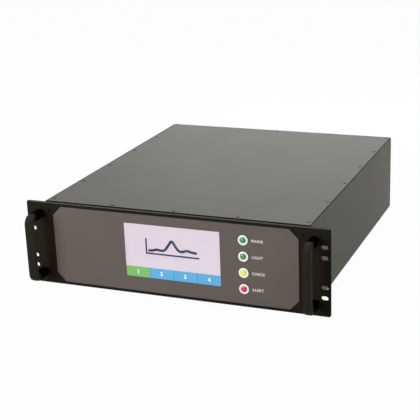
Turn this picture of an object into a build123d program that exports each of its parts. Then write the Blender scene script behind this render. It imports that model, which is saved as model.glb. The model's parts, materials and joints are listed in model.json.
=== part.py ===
# Rack-mounted temperature sensing controller, three units high, in millimetres.
# Frame: origin at the middle of the front panel's rear face, X to the right seen from the front,
# Y to the rear of the case, Z up.
from build123d import *
import math
import os

os.makedirs("parts", exist_ok=True)

# Front panel, to the 19-inch rack standard
panel_width = 482.6
panel_height = 132.5
panel_thickness = 3.0
panel_corner_radius = 3.5
panel_edge_chamfer = 1.0
rack_slot_inset = 8.75
rack_slot_outer_rise = 38.1
rack_slot_inner_rise = 22.225
rack_slot_length = 10.5
rack_slot_width = 6.8

# Case behind the panel
ear_width = 30.3
case_depth = 495.0
case_top_drop = 0.25
case_bottom_rise = 2.75
sheet = 1.5
bend_radius = 1.6
rear_sheet = 2.0
rear_corner_cut = 1.8
cover_thickness = 1.5
cover_side_gap = 1.2
cover_front_gap = 5.5
cover_corner_cut = 1.2
rail_leg = 13.0
rear_flange = 15.0
flange_gap = 2.0
fold_depth = 17.0
base_fold_depth = 12.0
fold_end_gap = 1.5
fit_gap = 0.3
opening_side_gap = 4.0
opening_end_gap = 5.0
opening_rise_gap = 3.0

# Raised fascia plate on the panel
fascia_side_margin = 45.8
fascia_top_margin = 5.4
fascia_bottom_margin = 5.4
fascia_corner_cut = 14.0
fascia_thickness = 1.2
fascia_edge_share = 0.4

# Display
window_width = 152.8
window_height = 84.6
display_x = 0.0
display_rise_share = 3.8 / 132.5
display_border_x = 6.0
display_border_z = 7.5
display_gap = 0.5
glass_thickness = 1.1
glass_gap = 0.2
lcd_thickness = 5.4
lcd_rim_gap = 1.5
lcd_box_share = 0.5
lcd_box_height = 12.0
lcd_box_drop = 38.4
lcd_box_depth = 2.0
clamp_foot = 11.0
clamp_height = 64.0
clamp_window_share = 0.7
clamp_window_height = 38.4

# Indicators
indicator_gap = 30.4
indicator_z = 0.3
indicator_pitch_share = 25 / 132.5
bezel_radius = 8.2
bezel_height = 2.0
lens_radius = 5.0
lens_rise = 1.4
indicator_body = 10.0
indicator_body_length = 22.0

# Bow handles
handle_offset = 7.2
handle_pitch = 95.0
handle_width = 10.5
handle_depth = 12.0
handle_edge_cut = 1.0
handle_projection = 39.5
handle_bend_radius = 8.5

# Rear connections, placed sideways as shares of half the case's width
fan_share = -140 / 211
fibre_share = -18 / 211
relay_share = 40 / 211
usb_share = 66 / 211
network_share = 106 / 211
mains_share = 172 / 211

# Exhaust fan and its grille
fan_size = 80.0
fan_depth = 25.0
fan_corner_cut = 4.0
fan_wall = 2.0
fan_tip_gap = 1.8
fan_end_gap = 1.0
fan_hub_share = 0.45
fan_blade_chord = 22.0
fan_blade_pitch = 42.0
fan_blade_thickness = 1.6
fan_blades = 5
fan_blade_root_share = 0.9
fan_shaft = 1.5
fan_shaft_end_gap = 0.5
bearing_gap = 0.05
fan_strut = 5.0
fan_strut_depth = 4.0
grille_slot = 4.4
grille_bar = 2.8
grille_rib = 6.0
grille_margin = 4.0
grille_edge = 1.0

# Fibre ports
fibre_z = 24.0
fibre_pitch = 27.0
fibre_count = 4
fibre_width = 9.3
fibre_height = 12.8
fibre_flange_width = 12.1
fibre_flange_height = 22.0
fibre_flange = 2.0
fibre_reach = 11.0
fibre_tail = 16.0
fibre_wall = 1.1
plug_gap = 0.15
plug_share = 0.75
cap_head = 6.0
cap_edge_cut = 0.8

# Mains inlet
inlet_z = -26.0
inlet_flange_width = 50.0
inlet_flange_height = 22.5
inlet_flange = 3.0
inlet_flange_cut = 4.5
inlet_width = 27.0
inlet_height = 19.8
inlet_depth = 24.0
inlet_wall = 1.6
inlet_floor = 6.0
inlet_well_cut = 4.4
inlet_earth_rise = 2.6
inlet_blade_drop = 2.6
inlet_blade_spread = 7.0
inlet_blade_width = 2.0
inlet_blade_height = 4.0
inlet_blade_share = 0.8
inlet_tag_width = 0.8
inlet_tag_height = 4.8
tag_length = 8.0

# Mains switch
switch_z = 24.0
switch_width = 24.0
switch_height = 33.0
switch_flange = 2.0
switch_wall = 1.5
switch_depth = 22.0
switch_lip = 1.8
switch_well_share = 0.5
switch_tag_pitch = 11.8
switch_tag_width = 6.0
switch_tag_thickness = 0.8
rocker_gap = 0.25
rocker_end_gap = 1.8
rocker_tilt = 10.0
rocker_proud = 1.0
rocker_rise = 2.6
rocker_pin = 1.5
rocker_pin_reach = 1.2
rocker_pin_gap = 0.15

# Network and service sockets
network_z = 24.0
network_width = 34.0
network_height = 14.6
network_depth = 22.0
network_reach = 1.5
socket_shoulder_x = 3.0
socket_shoulder_z = 2.0
socket_pitch = 16.2
socket_width = 11.8
socket_height = 8.2
socket_depth = 13.0
socket_notch_width = 5.9
socket_notch_drop = 1.9
usb_width = 14.8
usb_height = 17.0
usb_depth = 18.0
usb_reach = 0.9
usb_slot_pitch = 7.8
usb_slot_width = 12.4
usb_slot_height = 4.8
usb_slot_depth = 10.8
usb_tongue_width = 10.9
usb_tongue_height = 1.7
usb_tongue_rise = 1.1

# Relay terminals
relay_z = -32.0
relay_ways = 16
relay_pitch = 5.08
relay_end = 1.5
relay_height = 18.0
relay_reach = 13.0
relay_slope_rise = 1.8
relay_slope_reach = 7.8
relay_tail = 7.0
relay_tail_inset_x = 2.0
relay_tail_inset_z = 3.0
relay_mouth_width = 3.4
relay_mouth_height = 4.7
relay_mouth_drop = 3.6
relay_mouth_depth = 9.1

# Inlet slots in the base
vent_length = 34.0
vent_width = 5.0
vent_pitch = 22.0
vent_count = 13
vent_y = 34.0

# Inner equipment, in two columns that share the bay's length and width
equipment_front = 66.0
equipment_rear_gap = 42.0
equipment_side_gap = 12.0
equipment_spacing = 24.0
optics_length_share = 0.67
acquisition_length_share = 0.28
acquisition_width_share = 0.86
computer_length_share = 0.47
computer_width_share = 0.92
supply_length_share = 0.53
supply_width_share = 0.53

# Power supply
supply_height = 38.0
supply_wall = 2.0
supply_bay_share = 0.12
supply_bay_depth = 17.0
supply_barriers = 8
supply_barrier_margin = 6.0
supply_barrier_thickness = 1.4
supply_barrier_height = 11.4
supply_groove_depth = 1.2
supply_grooves = 4

# Optics plate and its modules, whose lengths and widths are shares of the plate inside its margin
optics_thickness = 4.0
optics_margin = 8.0
laser_width_share = 0.47
laser_length_share = 0.49
laser_height = 20.0
laser_edge_cut = 2.0
laser_sink_base = 3.0
laser_sink_side = 2.0
laser_sink_inset = 4.0
laser_fin_height = 14.0
laser_fins = 9
fin_thickness = 1.6
fin_margin = 3.0
filter_width_share = 0.13
filter_length_share = 0.41
filter_height = 11.0
detector_width_share = 0.27
detector_length_share = 0.277
detector_step_share = 1.13
detector_height = 24.0
router_width_share = 0.25
router_length_share = 0.27
router_height = 13.0
module_edge_cut = 1.0
coil_width_share = 0.61
coil_length_share = 0.46
coil_corner_share = 0.28
coil_height = 22.0
coil_edge_cut = 1.5

# Circuit boards
board_thickness = 1.6
board_hole_inset = 6.5
standoff_height = 12.0
standoff_size = 3.0
sink_size = 64.0
sink_base = 4.0
sink_height = 20.0
sink_fins = 9
sink_fin_margin = 1.5
chip_share = 0.6
chip_height = 4.0
connector_height = 11.0
converter_height = 7.0

# Levels and places that follow from the sizes above
case_width = panel_width - 2 * ear_width
x_wall = case_width / 2
x_inner = x_wall - sheet
z_top = panel_height / 2 - case_top_drop
z_bottom = case_bottom_rise - panel_height / 2
z_floor = z_bottom + sheet
z_ledge = z_top - cover_thickness
y_front = -panel_thickness
y_fascia = y_front - fascia_thickness
y_rear = case_depth
y_rear_inner = y_rear - rear_sheet
rack_slot_x = panel_width / 2 - rack_slot_inset
handle_x = x_wall + handle_offset
display_z = panel_height * display_rise_share
lcd_width = window_width + 2 * display_border_x
lcd_height = window_height + 2 * display_border_z
indicator_x = display_x + lcd_width / 2 + indicator_gap
indicator_pitch = panel_height * indicator_pitch_share
fold_half_width = x_inner - rail_leg - fold_end_gap
fan_x = x_wall * fan_share
fan_bore = fan_size / 2 - fan_wall
fan_hub = fan_bore * fan_hub_share
fan_blade_tip = fan_bore - fan_tip_gap
fibre_x = x_wall * fibre_share
relay_x = x_wall * relay_share
relay_row = relay_ways * relay_pitch
usb_x = x_wall * usb_share
network_x = x_wall * network_share
mains_x = x_wall * mains_share

rack_slots = [(sx * rack_slot_x, sz * rise)
              for sx in (-1, 1) for rise in (rack_slot_outer_rise, rack_slot_inner_rise) for sz in (-1, 1)]
indicators = [(indicator_x, indicator_z + indicator_pitch * step) for step in (1.5, 0.5, -0.5, -1.5)]
indicator_hole = indicator_body + 2 * fit_gap


def facing_front(y):
    """Plane across the case at a depth: its own x is X, its own y is Z and it looks to the front."""
    return Plane.XZ.offset(-y)


def save(piece, name):
    """Labels a finished piece and writes its file."""
    piece.part.label = name
    export_step(piece.part, f"parts/{name}.step")


# Front panel: plate with rack slots, a display opening and indicator cut-outs
with BuildPart() as front_panel:
    with BuildSketch(Plane.XZ):
        RectangleRounded(panel_width, panel_height, panel_corner_radius)
        with Locations((display_x, display_z)):
            Rectangle(lcd_width + 2 * display_gap, lcd_height + 2 * display_gap, mode=Mode.SUBTRACT)
        with Locations(*rack_slots):
            SlotOverall(rack_slot_length, rack_slot_width, mode=Mode.SUBTRACT)
        with Locations(*indicators):
            Rectangle(indicator_hole, indicator_hole, mode=Mode.SUBTRACT)
    extrude(amount=panel_thickness)
    front_face = front_panel.faces().sort_by(Axis.Y)[0]
    chamfer(front_face.outer_wire().edges(), length=panel_edge_chamfer)
save(front_panel, "front_panel")

# Fascia plate: raised sheet with cut corners round the display window
with BuildPart() as fascia_plate:
    with BuildSketch(facing_front(y_front)) as fascia_outline:
        with Locations((0, (fascia_bottom_margin - fascia_top_margin) / 2)):
            Rectangle(panel_width - 2 * fascia_side_margin, panel_height - fascia_top_margin - fascia_bottom_margin)
        chamfer(fascia_outline.vertices(), length=fascia_corner_cut)
        with Locations((display_x, display_z)):
            Rectangle(window_width, window_height, mode=Mode.SUBTRACT)
        with Locations(*indicators):
            Rectangle(indicator_hole, indicator_hole, mode=Mode.SUBTRACT)
    extrude(amount=fascia_thickness)
    fascia_face = fascia_plate.faces().sort_by(Axis.Y)[0]
    chamfer(fascia_face.outer_wire().edges(), length=fascia_thickness * fascia_edge_share)
save(fascia_plate, "fascia_plate")

# Bow handles: flat bar with broken edges swept along a bent route, one at each end of the panel
grip_y = y_front - handle_projection + handle_depth / 2
with BuildPart() as handles:
    for side in (-1, 1):
        with BuildLine() as route:
            FilletPolyline(
                (side * handle_x, y_front, handle_pitch / 2),
                (side * handle_x, grip_y, handle_pitch / 2),
                (side * handle_x, grip_y, -handle_pitch / 2),
                (side * handle_x, y_front, -handle_pitch / 2),
                radius=handle_bend_radius,
            )
        with BuildSketch(Plane(origin=route.line @ 0, x_dir=(1, 0, 0), z_dir=(0, -1, 0))) as bar:
            Rectangle(handle_width, handle_depth)
            chamfer(bar.vertices(), length=handle_edge_cut)
        sweep(path=route.line)
save(handles, "handles")

# Chassis tray: base and side walls folded from one sheet, with inward flanges at the rear
flange_top = z_ledge - rail_leg - flange_gap
flange_base = z_floor + bend_radius
with BuildPart() as chassis_tray:
    with BuildSketch(Plane.XZ) as tray_outline:
        with Locations((0, (z_top + z_bottom) / 2)):
            Rectangle(case_width, z_top - z_bottom)
        fillet(tray_outline.vertices().group_by(Axis.Y)[0], radius=bend_radius)
    extrude(amount=-y_rear_inner)
    with BuildSketch(Plane.XZ) as tray_inside:
        with Locations((0, (z_top + z_floor) / 2)):
            Rectangle(2 * x_inner, z_top - z_floor)
        fillet(tray_inside.vertices().group_by(Axis.Y)[0], radius=max(bend_radius - sheet, sheet * 0.2))
    extrude(amount=-y_rear_inner, mode=Mode.SUBTRACT)
    with BuildSketch(facing_front(y_rear_inner - sheet)):
        with Locations(*[(sx * (x_wall - rear_flange / 2), (flange_top + flange_base) / 2) for sx in (-1, 1)]):
            Rectangle(rear_flange, flange_top - flange_base)
    extrude(amount=-sheet)
    with BuildSketch(Plane.XY.offset(z_bottom)):
        with Locations((0, vent_y)):
            with GridLocations(vent_pitch, 1, vent_count, 1):
                Rectangle(vent_width, vent_length)
    extrude(amount=sheet, mode=Mode.SUBTRACT)
save(chassis_tray, "chassis_tray")

# Cover rails: angles along the side walls that carry the cover
rail_front = sheet + fit_gap
for side, name in ((-1, "cover_rail_left"), (1, "cover_rail_right")):
    with BuildPart() as rail:
        with BuildSketch(facing_front(rail_front)):
            with BuildLine():
                Polyline(
                    (side * x_inner, z_ledge),
                    (side * (x_inner - rail_leg), z_ledge),
                    (side * (x_inner - rail_leg), z_ledge - sheet),
                    (side * (x_inner - sheet), z_ledge - sheet),
                    (side * (x_inner - sheet), z_ledge - rail_leg),
                    (side * x_inner, z_ledge - rail_leg),
                    close=True,
                )
            make_face()
        extrude(amount=-(y_rear_inner - rail_front))
    save(rail, name)

# Front bulkhead: folded plate behind the panel, open round the display and the indicators
opening_left = display_x - lcd_width / 2 - display_gap - clamp_foot - opening_side_gap
opening_right = indicator_x + indicator_body + opening_end_gap
opening_width = opening_right - opening_left
opening_height = lcd_height + 2 * opening_rise_gap
with BuildPart() as front_bulkhead:
    with BuildSketch(Plane.XZ) as bulkhead_outline:
        with Locations((0, (z_floor + z_ledge) / 2)):
            Rectangle(2 * (x_inner - fit_gap), z_ledge - z_floor)
        chamfer(bulkhead_outline.vertices(), length=bend_radius)
        with Locations(((opening_left + opening_right) / 2, display_z)):
            Rectangle(opening_width, opening_height, mode=Mode.SUBTRACT)
    extrude(amount=-sheet)
    with BuildSketch(Plane.XY.offset(z_ledge)):
        with Locations((0, fold_depth / 2)):
            Rectangle(2 * fold_half_width, fold_depth)
    extrude(amount=-sheet)
    with BuildSketch(Plane.XY.offset(z_floor)):
        with Locations((0, base_fold_depth / 2)):
            Rectangle(2 * fold_half_width, base_fold_depth)
    extrude(amount=sheet)
save(front_bulkhead, "front_bulkhead")

# Rear panel: plate over the end of the tray with a fan grille, cut-outs and a fold under the cover
grille_pitch = grille_slot + grille_bar
grille_rows = int((fan_bore - grille_margin) // grille_pitch)
grille_reach = fan_bore - grille_edge
rear_holes = [
    (mains_x, inlet_z, inlet_width + 2 * fit_gap, inlet_height + 2 * fit_gap),
    (mains_x, switch_z, switch_width - 2 * switch_lip + 2 * fit_gap, switch_height - 2 * switch_lip + 2 * fit_gap),
    (network_x, network_z, network_width + 2 * fit_gap, network_height + 2 * fit_gap),
    (usb_x, network_z, usb_width + 2 * fit_gap, usb_height + 2 * fit_gap),
    (relay_x, relay_z, relay_row - 2 * relay_tail_inset_x, relay_height - 2 * relay_tail_inset_z),
]
with BuildPart() as rear_panel:
    with BuildSketch(facing_front(y_rear_inner)) as rear_outline:
        with Locations((0, (z_bottom + z_ledge) / 2)):
            Rectangle(case_width, z_ledge - z_bottom)
        chamfer(rear_outline.vertices(), length=rear_corner_cut)
        for row in range(-grille_rows, grille_rows + 1):
            rise = row * grille_pitch
            slot_length = math.sqrt(grille_reach ** 2 - (abs(rise) + grille_slot / 2) ** 2) - grille_rib / 2
            slot_offset = (grille_rib + slot_length) / 2
            with Locations((fan_x - slot_offset, rise), (fan_x + slot_offset, rise)):
                Rectangle(slot_length, grille_slot, mode=Mode.SUBTRACT)
        with Locations((fibre_x, fibre_z)):
            with GridLocations(fibre_pitch, 1, fibre_count, 1):
                Rectangle(fibre_width + 2 * fit_gap, fibre_height + 2 * fit_gap, mode=Mode.SUBTRACT)
        for hole_x, hole_z, hole_width, hole_height in rear_holes:
            with Locations((hole_x, hole_z)):
                Rectangle(hole_width, hole_height, mode=Mode.SUBTRACT)
    extrude(amount=-rear_sheet)
    with BuildSketch(Plane.XY.offset(z_ledge)):
        with Locations((0, y_rear_inner - fold_depth / 2)):
            Rectangle(2 * fold_half_width, fold_depth)
    extrude(amount=-rear_sheet)
save(rear_panel, "rear_panel")

# Top cover: flat sheet between the side walls
cover_length = y_rear - cover_front_gap
with BuildPart() as top_cover:
    with BuildSketch(Plane.XY.offset(z_ledge)) as cover_outline:
        with Locations((0, cover_front_gap + cover_length / 2)):
            Rectangle(2 * (x_inner - cover_side_gap), cover_length)
        chamfer(cover_outline.vertices(), length=cover_corner_cut)
    extrude(amount=cover_thickness)
save(top_cover, "top_cover")

# Display: touch glass, panel module behind it, and the clamp that holds both in the opening
y_glass_back = y_front + glass_thickness
y_lcd = y_glass_back + glass_gap
y_lcd_back = y_lcd + lcd_thickness
with BuildPart() as touch_glass:
    with BuildSketch(facing_front(y_front)):
        with Locations((display_x, display_z)):
            Rectangle(lcd_width, lcd_height)
    extrude(amount=-glass_thickness)
save(touch_glass, "touch_glass")

with BuildPart() as lcd_module:
    with BuildSketch(facing_front(y_lcd)):
        with Locations((display_x, display_z)):
            Rectangle(lcd_width, lcd_height)
    extrude(amount=-lcd_thickness)
    with BuildSketch(facing_front(y_glass_back)):
        with Locations((display_x, display_z)):
            Rectangle(lcd_width, lcd_height)
            Rectangle(window_width + 2 * lcd_rim_gap, window_height + 2 * lcd_rim_gap, mode=Mode.SUBTRACT)
    extrude(amount=-glass_gap)
    with BuildSketch(facing_front(y_lcd_back)):
        with Locations((display_x, display_z - lcd_box_drop)):
            Rectangle(lcd_width * lcd_box_share, lcd_box_height)
    extrude(amount=-lcd_box_depth)
save(lcd_module, "lcd_module")

clamp_rise = max(y_lcd_back, sheet * 0.3)
clamp_inner = lcd_width / 2 + display_gap
clamp_outer = clamp_inner + clamp_foot
with BuildPart() as display_clamp:
    with BuildSketch(Plane.XY.offset(display_z - clamp_height / 2)):
        with BuildLine():
            Polyline(
                (display_x - clamp_outer, 0),
                (display_x - clamp_inner, 0),
                (display_x - clamp_inner, clamp_rise),
                (display_x + clamp_inner, clamp_rise),
                (display_x + clamp_inner, 0),
                (display_x + clamp_outer, 0),
                (display_x + clamp_outer, sheet),
                (display_x + clamp_inner + sheet, sheet),
                (display_x + clamp_inner + sheet, clamp_rise + sheet),
                (display_x - clamp_inner - sheet, clamp_rise + sheet),
                (display_x - clamp_inner - sheet, sheet),
                (display_x - clamp_outer, sheet),
                close=True,
            )
        make_face()
    extrude(amount=clamp_height)
    with BuildSketch(Plane.XZ):
        with Locations((display_x, display_z)):
            Rectangle(lcd_width * clamp_window_share, clamp_window_height)
    extrude(amount=-(clamp_rise + 2 * sheet), mode=Mode.SUBTRACT)
save(display_clamp, "display_clamp")

# Indicators: flanged bezel on a square snap-in body, and a lens seated on its face
y_lens = y_fascia - bezel_height
with BuildPart() as indicator_bezels:
    with BuildSketch(facing_front(y_fascia)):
        with Locations(*indicators):
            Circle(bezel_radius)
    extrude(amount=bezel_height)
    with BuildSketch(facing_front(y_fascia)):
        with Locations(*indicators):
            Rectangle(indicator_body, indicator_body)
    extrude(amount=-indicator_body_length)
save(indicator_bezels, "indicator_bezels")

for number, place in enumerate(indicators, 1):
    with BuildPart() as lens:
        with BuildSketch(facing_front(y_lens)):
            with Locations(place):
                Circle(lens_radius)
        extrude(amount=lens_rise)
    save(lens, f"indicator_lens_{number}")

# Fan: square frame with a motor seat on struts, and the bladed rotor on its shaft
fan_front = y_rear_inner - fan_depth
strut_length = 2 * fan_bore + fan_wall
with BuildPart() as fan_frame:
    with BuildSketch(facing_front(y_rear_inner)) as fan_outline:
        with Locations((fan_x, 0)):
            Rectangle(fan_size, fan_size)
        chamfer(fan_outline.vertices(), length=fan_corner_cut)
        with Locations((fan_x, 0)):
            Circle(fan_bore, mode=Mode.SUBTRACT)
    extrude(amount=fan_depth)
    with BuildSketch(facing_front(y_rear_inner)):
        with Locations((fan_x, 0)):
            Circle(fan_hub)
            Rectangle(strut_length, fan_strut)
            Rectangle(fan_strut, strut_length)
            Circle(fan_shaft + bearing_gap, mode=Mode.SUBTRACT)
    extrude(amount=fan_strut_depth)
save(fan_frame, "fan_frame")

hub_back = y_rear_inner - fan_strut_depth - fan_end_gap
hub_front = fan_front + fan_end_gap
blade_root = fan_hub * fan_blade_root_share
with BuildPart() as fan_rotor:
    with BuildSketch(facing_front(hub_back)):
        with Locations((fan_x, 0)):
            Circle(fan_hub)
    extrude(amount=hub_back - hub_front)
    with BuildSketch(facing_front(y_rear_inner - fan_shaft_end_gap)):
        with Locations((fan_x, 0)):
            Circle(fan_shaft)
    extrude(amount=fan_strut_depth + fan_end_gap)
    for blade in range(fan_blades):
        turn = math.radians(360 / fan_blades * blade)
        outward = Vector(math.cos(turn), 0, math.sin(turn))
        middle = Vector(fan_x, (hub_front + hub_back) / 2, 0)
        with BuildSketch(Plane(origin=middle + outward * blade_root, x_dir=(0, 1, 0), z_dir=outward)):
            Rectangle(fan_blade_chord, fan_blade_thickness, rotation=fan_blade_pitch)
        extrude(amount=fan_blade_tip - blade_root)
save(fan_rotor, "fan_rotor")

# Fibre adapters with a dust cap in each
port_width = fibre_width - 2 * fibre_wall
port_height = fibre_height - 2 * fibre_wall
fibre_ports = [(fibre_x + fibre_pitch * (step - (fibre_count - 1) / 2), fibre_z) for step in range(fibre_count)]
with BuildPart() as fibre_adapters:
    with BuildSketch(facing_front(y_rear_inner - fibre_tail)):
        with Locations(*fibre_ports):
            Rectangle(fibre_width, fibre_height)
    extrude(amount=-(fibre_tail + rear_sheet + fibre_reach))
    with BuildSketch(facing_front(y_rear)):
        with Locations(*fibre_ports):
            Rectangle(fibre_flange_width, fibre_flange_height)
    extrude(amount=-fibre_flange)
    with BuildSketch(facing_front(y_rear + fibre_reach)):
        with Locations(*fibre_ports):
            Rectangle(port_width, port_height)
    extrude(amount=fibre_reach, mode=Mode.SUBTRACT)
save(fibre_adapters, "fibre_adapters")

for number, port in enumerate(fibre_ports, 1):
    with BuildPart() as cap:
        with BuildSketch(facing_front(y_rear + fibre_reach)):
            with Locations(port):
                Rectangle(port_width - 2 * plug_gap, port_height - 2 * plug_gap)
        extrude(amount=fibre_reach * plug_share)
        with BuildSketch(facing_front(y_rear + fibre_reach)):
            with Locations(port):
                Rectangle(fibre_width, fibre_height)
        extrude(amount=-cap_head)
        chamfer(cap.faces().sort_by(Axis.Y)[-1].edges(), length=cap_edge_cut)
    save(cap, f"fibre_cap_{number}")

# Mains inlet: flanged body with an open socket, three blades and their solder tags
inlet_well = inlet_depth - inlet_floor
inlet_blades = [(mains_x, inlet_z + inlet_earth_rise)]
inlet_blades += [(mains_x + sx * inlet_blade_spread, inlet_z - inlet_blade_drop) for sx in (-1, 1)]
with BuildPart() as power_inlet:
    with BuildSketch(facing_front(y_rear)) as inlet_outline:
        with Locations((mains_x, inlet_z)):
            Rectangle(inlet_flange_width, inlet_flange_height)
        chamfer(inlet_outline.vertices(), length=inlet_flange_cut)
    extrude(amount=-inlet_flange)
    with BuildSketch(facing_front(y_rear)):
        with Locations((mains_x, inlet_z)):
            Rectangle(inlet_width, inlet_height)
    extrude(amount=inlet_depth)
    with BuildSketch(facing_front(y_rear + inlet_flange)) as well:
        with Locations((mains_x, inlet_z)):
            Rectangle(inlet_width - 2 * inlet_wall, inlet_height - 2 * inlet_wall)
        chamfer(well.vertices().group_by(Axis.Y)[-1], length=inlet_well_cut)
    extrude(amount=inlet_flange + inlet_well, mode=Mode.SUBTRACT)
    with BuildSketch(facing_front(y_rear - inlet_well)):
        with Locations(*inlet_blades):
            Rectangle(inlet_blade_width, inlet_blade_height)
    extrude(amount=-inlet_well * inlet_blade_share)
    with BuildSketch(facing_front(y_rear - inlet_depth)):
        with Locations(*inlet_blades):
            Rectangle(inlet_tag_width, inlet_tag_height)
    extrude(amount=tag_length)
save(power_inlet, "power_inlet")

# Mains switch: flanged housing with a well, and the rocker that tilts in it on two pins
housing_width = switch_width - 2 * switch_lip
housing_height = switch_height - 2 * switch_lip
well_width = housing_width - 2 * switch_wall
well_height = housing_height - 2 * switch_wall
pivot_y = y_rear - rear_sheet / 2
with BuildPart() as switch_frame:
    with BuildSketch(facing_front(y_rear)):
        with Locations((mains_x, switch_z)):
            Rectangle(switch_width, switch_height)
    extrude(amount=-switch_flange)
    with BuildSketch(facing_front(y_rear)):
        with Locations((mains_x, switch_z)):
            Rectangle(housing_width, housing_height)
    extrude(amount=switch_depth)
    with BuildSketch(facing_front(y_rear + switch_flange)):
        with Locations((mains_x, switch_z)):
            Rectangle(well_width, well_height)
    extrude(amount=switch_flange + switch_depth * switch_well_share, mode=Mode.SUBTRACT)
    with BuildSketch(Plane.YZ.offset(mains_x)):
        with Locations((pivot_y, switch_z)):
            Circle(rocker_pin + bearing_gap)
    extrude(amount=well_width / 2 + rocker_pin_reach + rocker_pin_gap, both=True, mode=Mode.SUBTRACT)
    with BuildSketch(facing_front(y_rear - switch_depth)):
        with Locations((mains_x, switch_z)):
            with GridLocations(1, switch_tag_pitch, 1, 2):
                Rectangle(switch_tag_width, switch_tag_thickness)
    extrude(amount=tag_length)
save(switch_frame, "switch_frame")

lean = math.radians(rocker_tilt)
rocker_plane = Plane(origin=(mains_x, pivot_y, switch_z), x_dir=(0, math.sin(lean), math.cos(lean)),
                     z_dir=(-1, 0, 0))
rocker_half = well_height / 2 - rocker_end_gap
rocker_base = -2 * rocker_pin
rocker_ridge = rear_sheet / 2 + switch_flange + rocker_proud
with BuildPart() as power_rocker:
    with BuildSketch(rocker_plane):
        with BuildLine():
            Polyline(
                (-rocker_half, rocker_base),
                (rocker_half, rocker_base),
                (rocker_half, rocker_ridge + rocker_rise),
                (0, rocker_ridge),
                (-rocker_half, rocker_ridge + rocker_rise),
                close=True,
            )
        make_face()
    extrude(amount=well_width / 2 - rocker_gap, both=True)
    with BuildSketch(rocker_plane):
        Circle(rocker_pin)
    extrude(amount=well_width / 2 + rocker_pin_reach, both=True)
save(power_rocker, "power_rocker")

# Network sockets: a pair in one shielded body with a shoulder behind the rear panel
with BuildPart() as network_port:
    with BuildSketch(facing_front(y_rear - network_depth)):
        with Locations((network_x, network_z)):
            Rectangle(network_width, network_height)
    extrude(amount=-(network_depth + network_reach))
    with BuildSketch(facing_front(y_rear - network_depth)):
        with Locations((network_x, network_z)):
            Rectangle(network_width + 2 * socket_shoulder_x, network_height + 2 * socket_shoulder_z)
    extrude(amount=-(network_depth - rear_sheet))
    with BuildSketch(facing_front(y_rear + network_reach)):
        with Locations((network_x, network_z)):
            with GridLocations(socket_pitch, 1, 2, 1):
                Rectangle(socket_width, socket_height)
                with Locations((0, -socket_height / 2)):
                    Rectangle(socket_notch_width, 2 * socket_notch_drop)
    extrude(amount=socket_depth, mode=Mode.SUBTRACT)
save(network_port, "network_port")

# Service sockets: two, one above the other, each with its tongue
with BuildPart() as usb_port:
    with BuildSketch(facing_front(y_rear - usb_depth)):
        with Locations((usb_x, network_z)):
            Rectangle(usb_width, usb_height)
    extrude(amount=-(usb_depth + usb_reach))
    with BuildSketch(facing_front(y_rear - usb_depth)):
        with Locations((usb_x, network_z)):
            Rectangle(usb_width + 2 * socket_shoulder_x, usb_height + 2 * socket_shoulder_z)
    extrude(amount=-(usb_depth - rear_sheet))
    with BuildSketch(facing_front(y_rear + usb_reach)):
        with Locations((usb_x, network_z)):
            with GridLocations(1, usb_slot_pitch, 1, 2):
                Rectangle(usb_slot_width, usb_slot_height)
                with Locations((0, usb_tongue_rise)):
                    Rectangle(usb_tongue_width, usb_tongue_height, mode=Mode.SUBTRACT)
    extrude(amount=usb_slot_depth, mode=Mode.SUBTRACT)
save(usb_port, "usb_port")

# Relay terminals: long block with a sloped top and a wire mouth for each way
relay_length = relay_row + 2 * relay_end
relay_base = relay_z - relay_height / 2
relay_top = relay_z + relay_height / 2
relay_tail_width = relay_row - 2 * relay_tail_inset_x - 2 * fit_gap
relay_tail_height = relay_height - 2 * relay_tail_inset_z - 2 * fit_gap
with BuildPart() as relay_terminals:
    with BuildSketch(Plane.YZ.offset(relay_x - relay_length / 2)):
        with BuildLine():
            Polyline(
                (y_rear, relay_base),
                (y_rear + relay_reach, relay_base),
                (y_rear + relay_reach, relay_z + relay_slope_rise),
                (y_rear + relay_slope_reach, relay_top),
                (y_rear, relay_top),
                close=True,
            )
        make_face()
    extrude(amount=relay_length)
    with BuildSketch(facing_front(y_rear)):
        with Locations((relay_x, relay_z)):
            Rectangle(relay_tail_width, relay_tail_height)
    extrude(amount=rear_sheet + relay_tail)
    with BuildSketch(facing_front(y_rear + relay_reach)):
        with Locations((relay_x, relay_z - relay_mouth_drop)):
            with GridLocations(relay_pitch, 1, relay_ways, 1):
                Rectangle(relay_mouth_width, relay_mouth_height)
    extrude(amount=relay_mouth_depth, mode=Mode.SUBTRACT)
save(relay_terminals, "relay_terminals")

# Inner bay, with two columns of equipment side by side
bay_length = y_rear_inner - equipment_rear_gap - equipment_front - equipment_spacing
column_width = x_inner - equipment_side_gap - equipment_spacing / 2
column_edge = x_inner - equipment_side_gap

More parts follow.
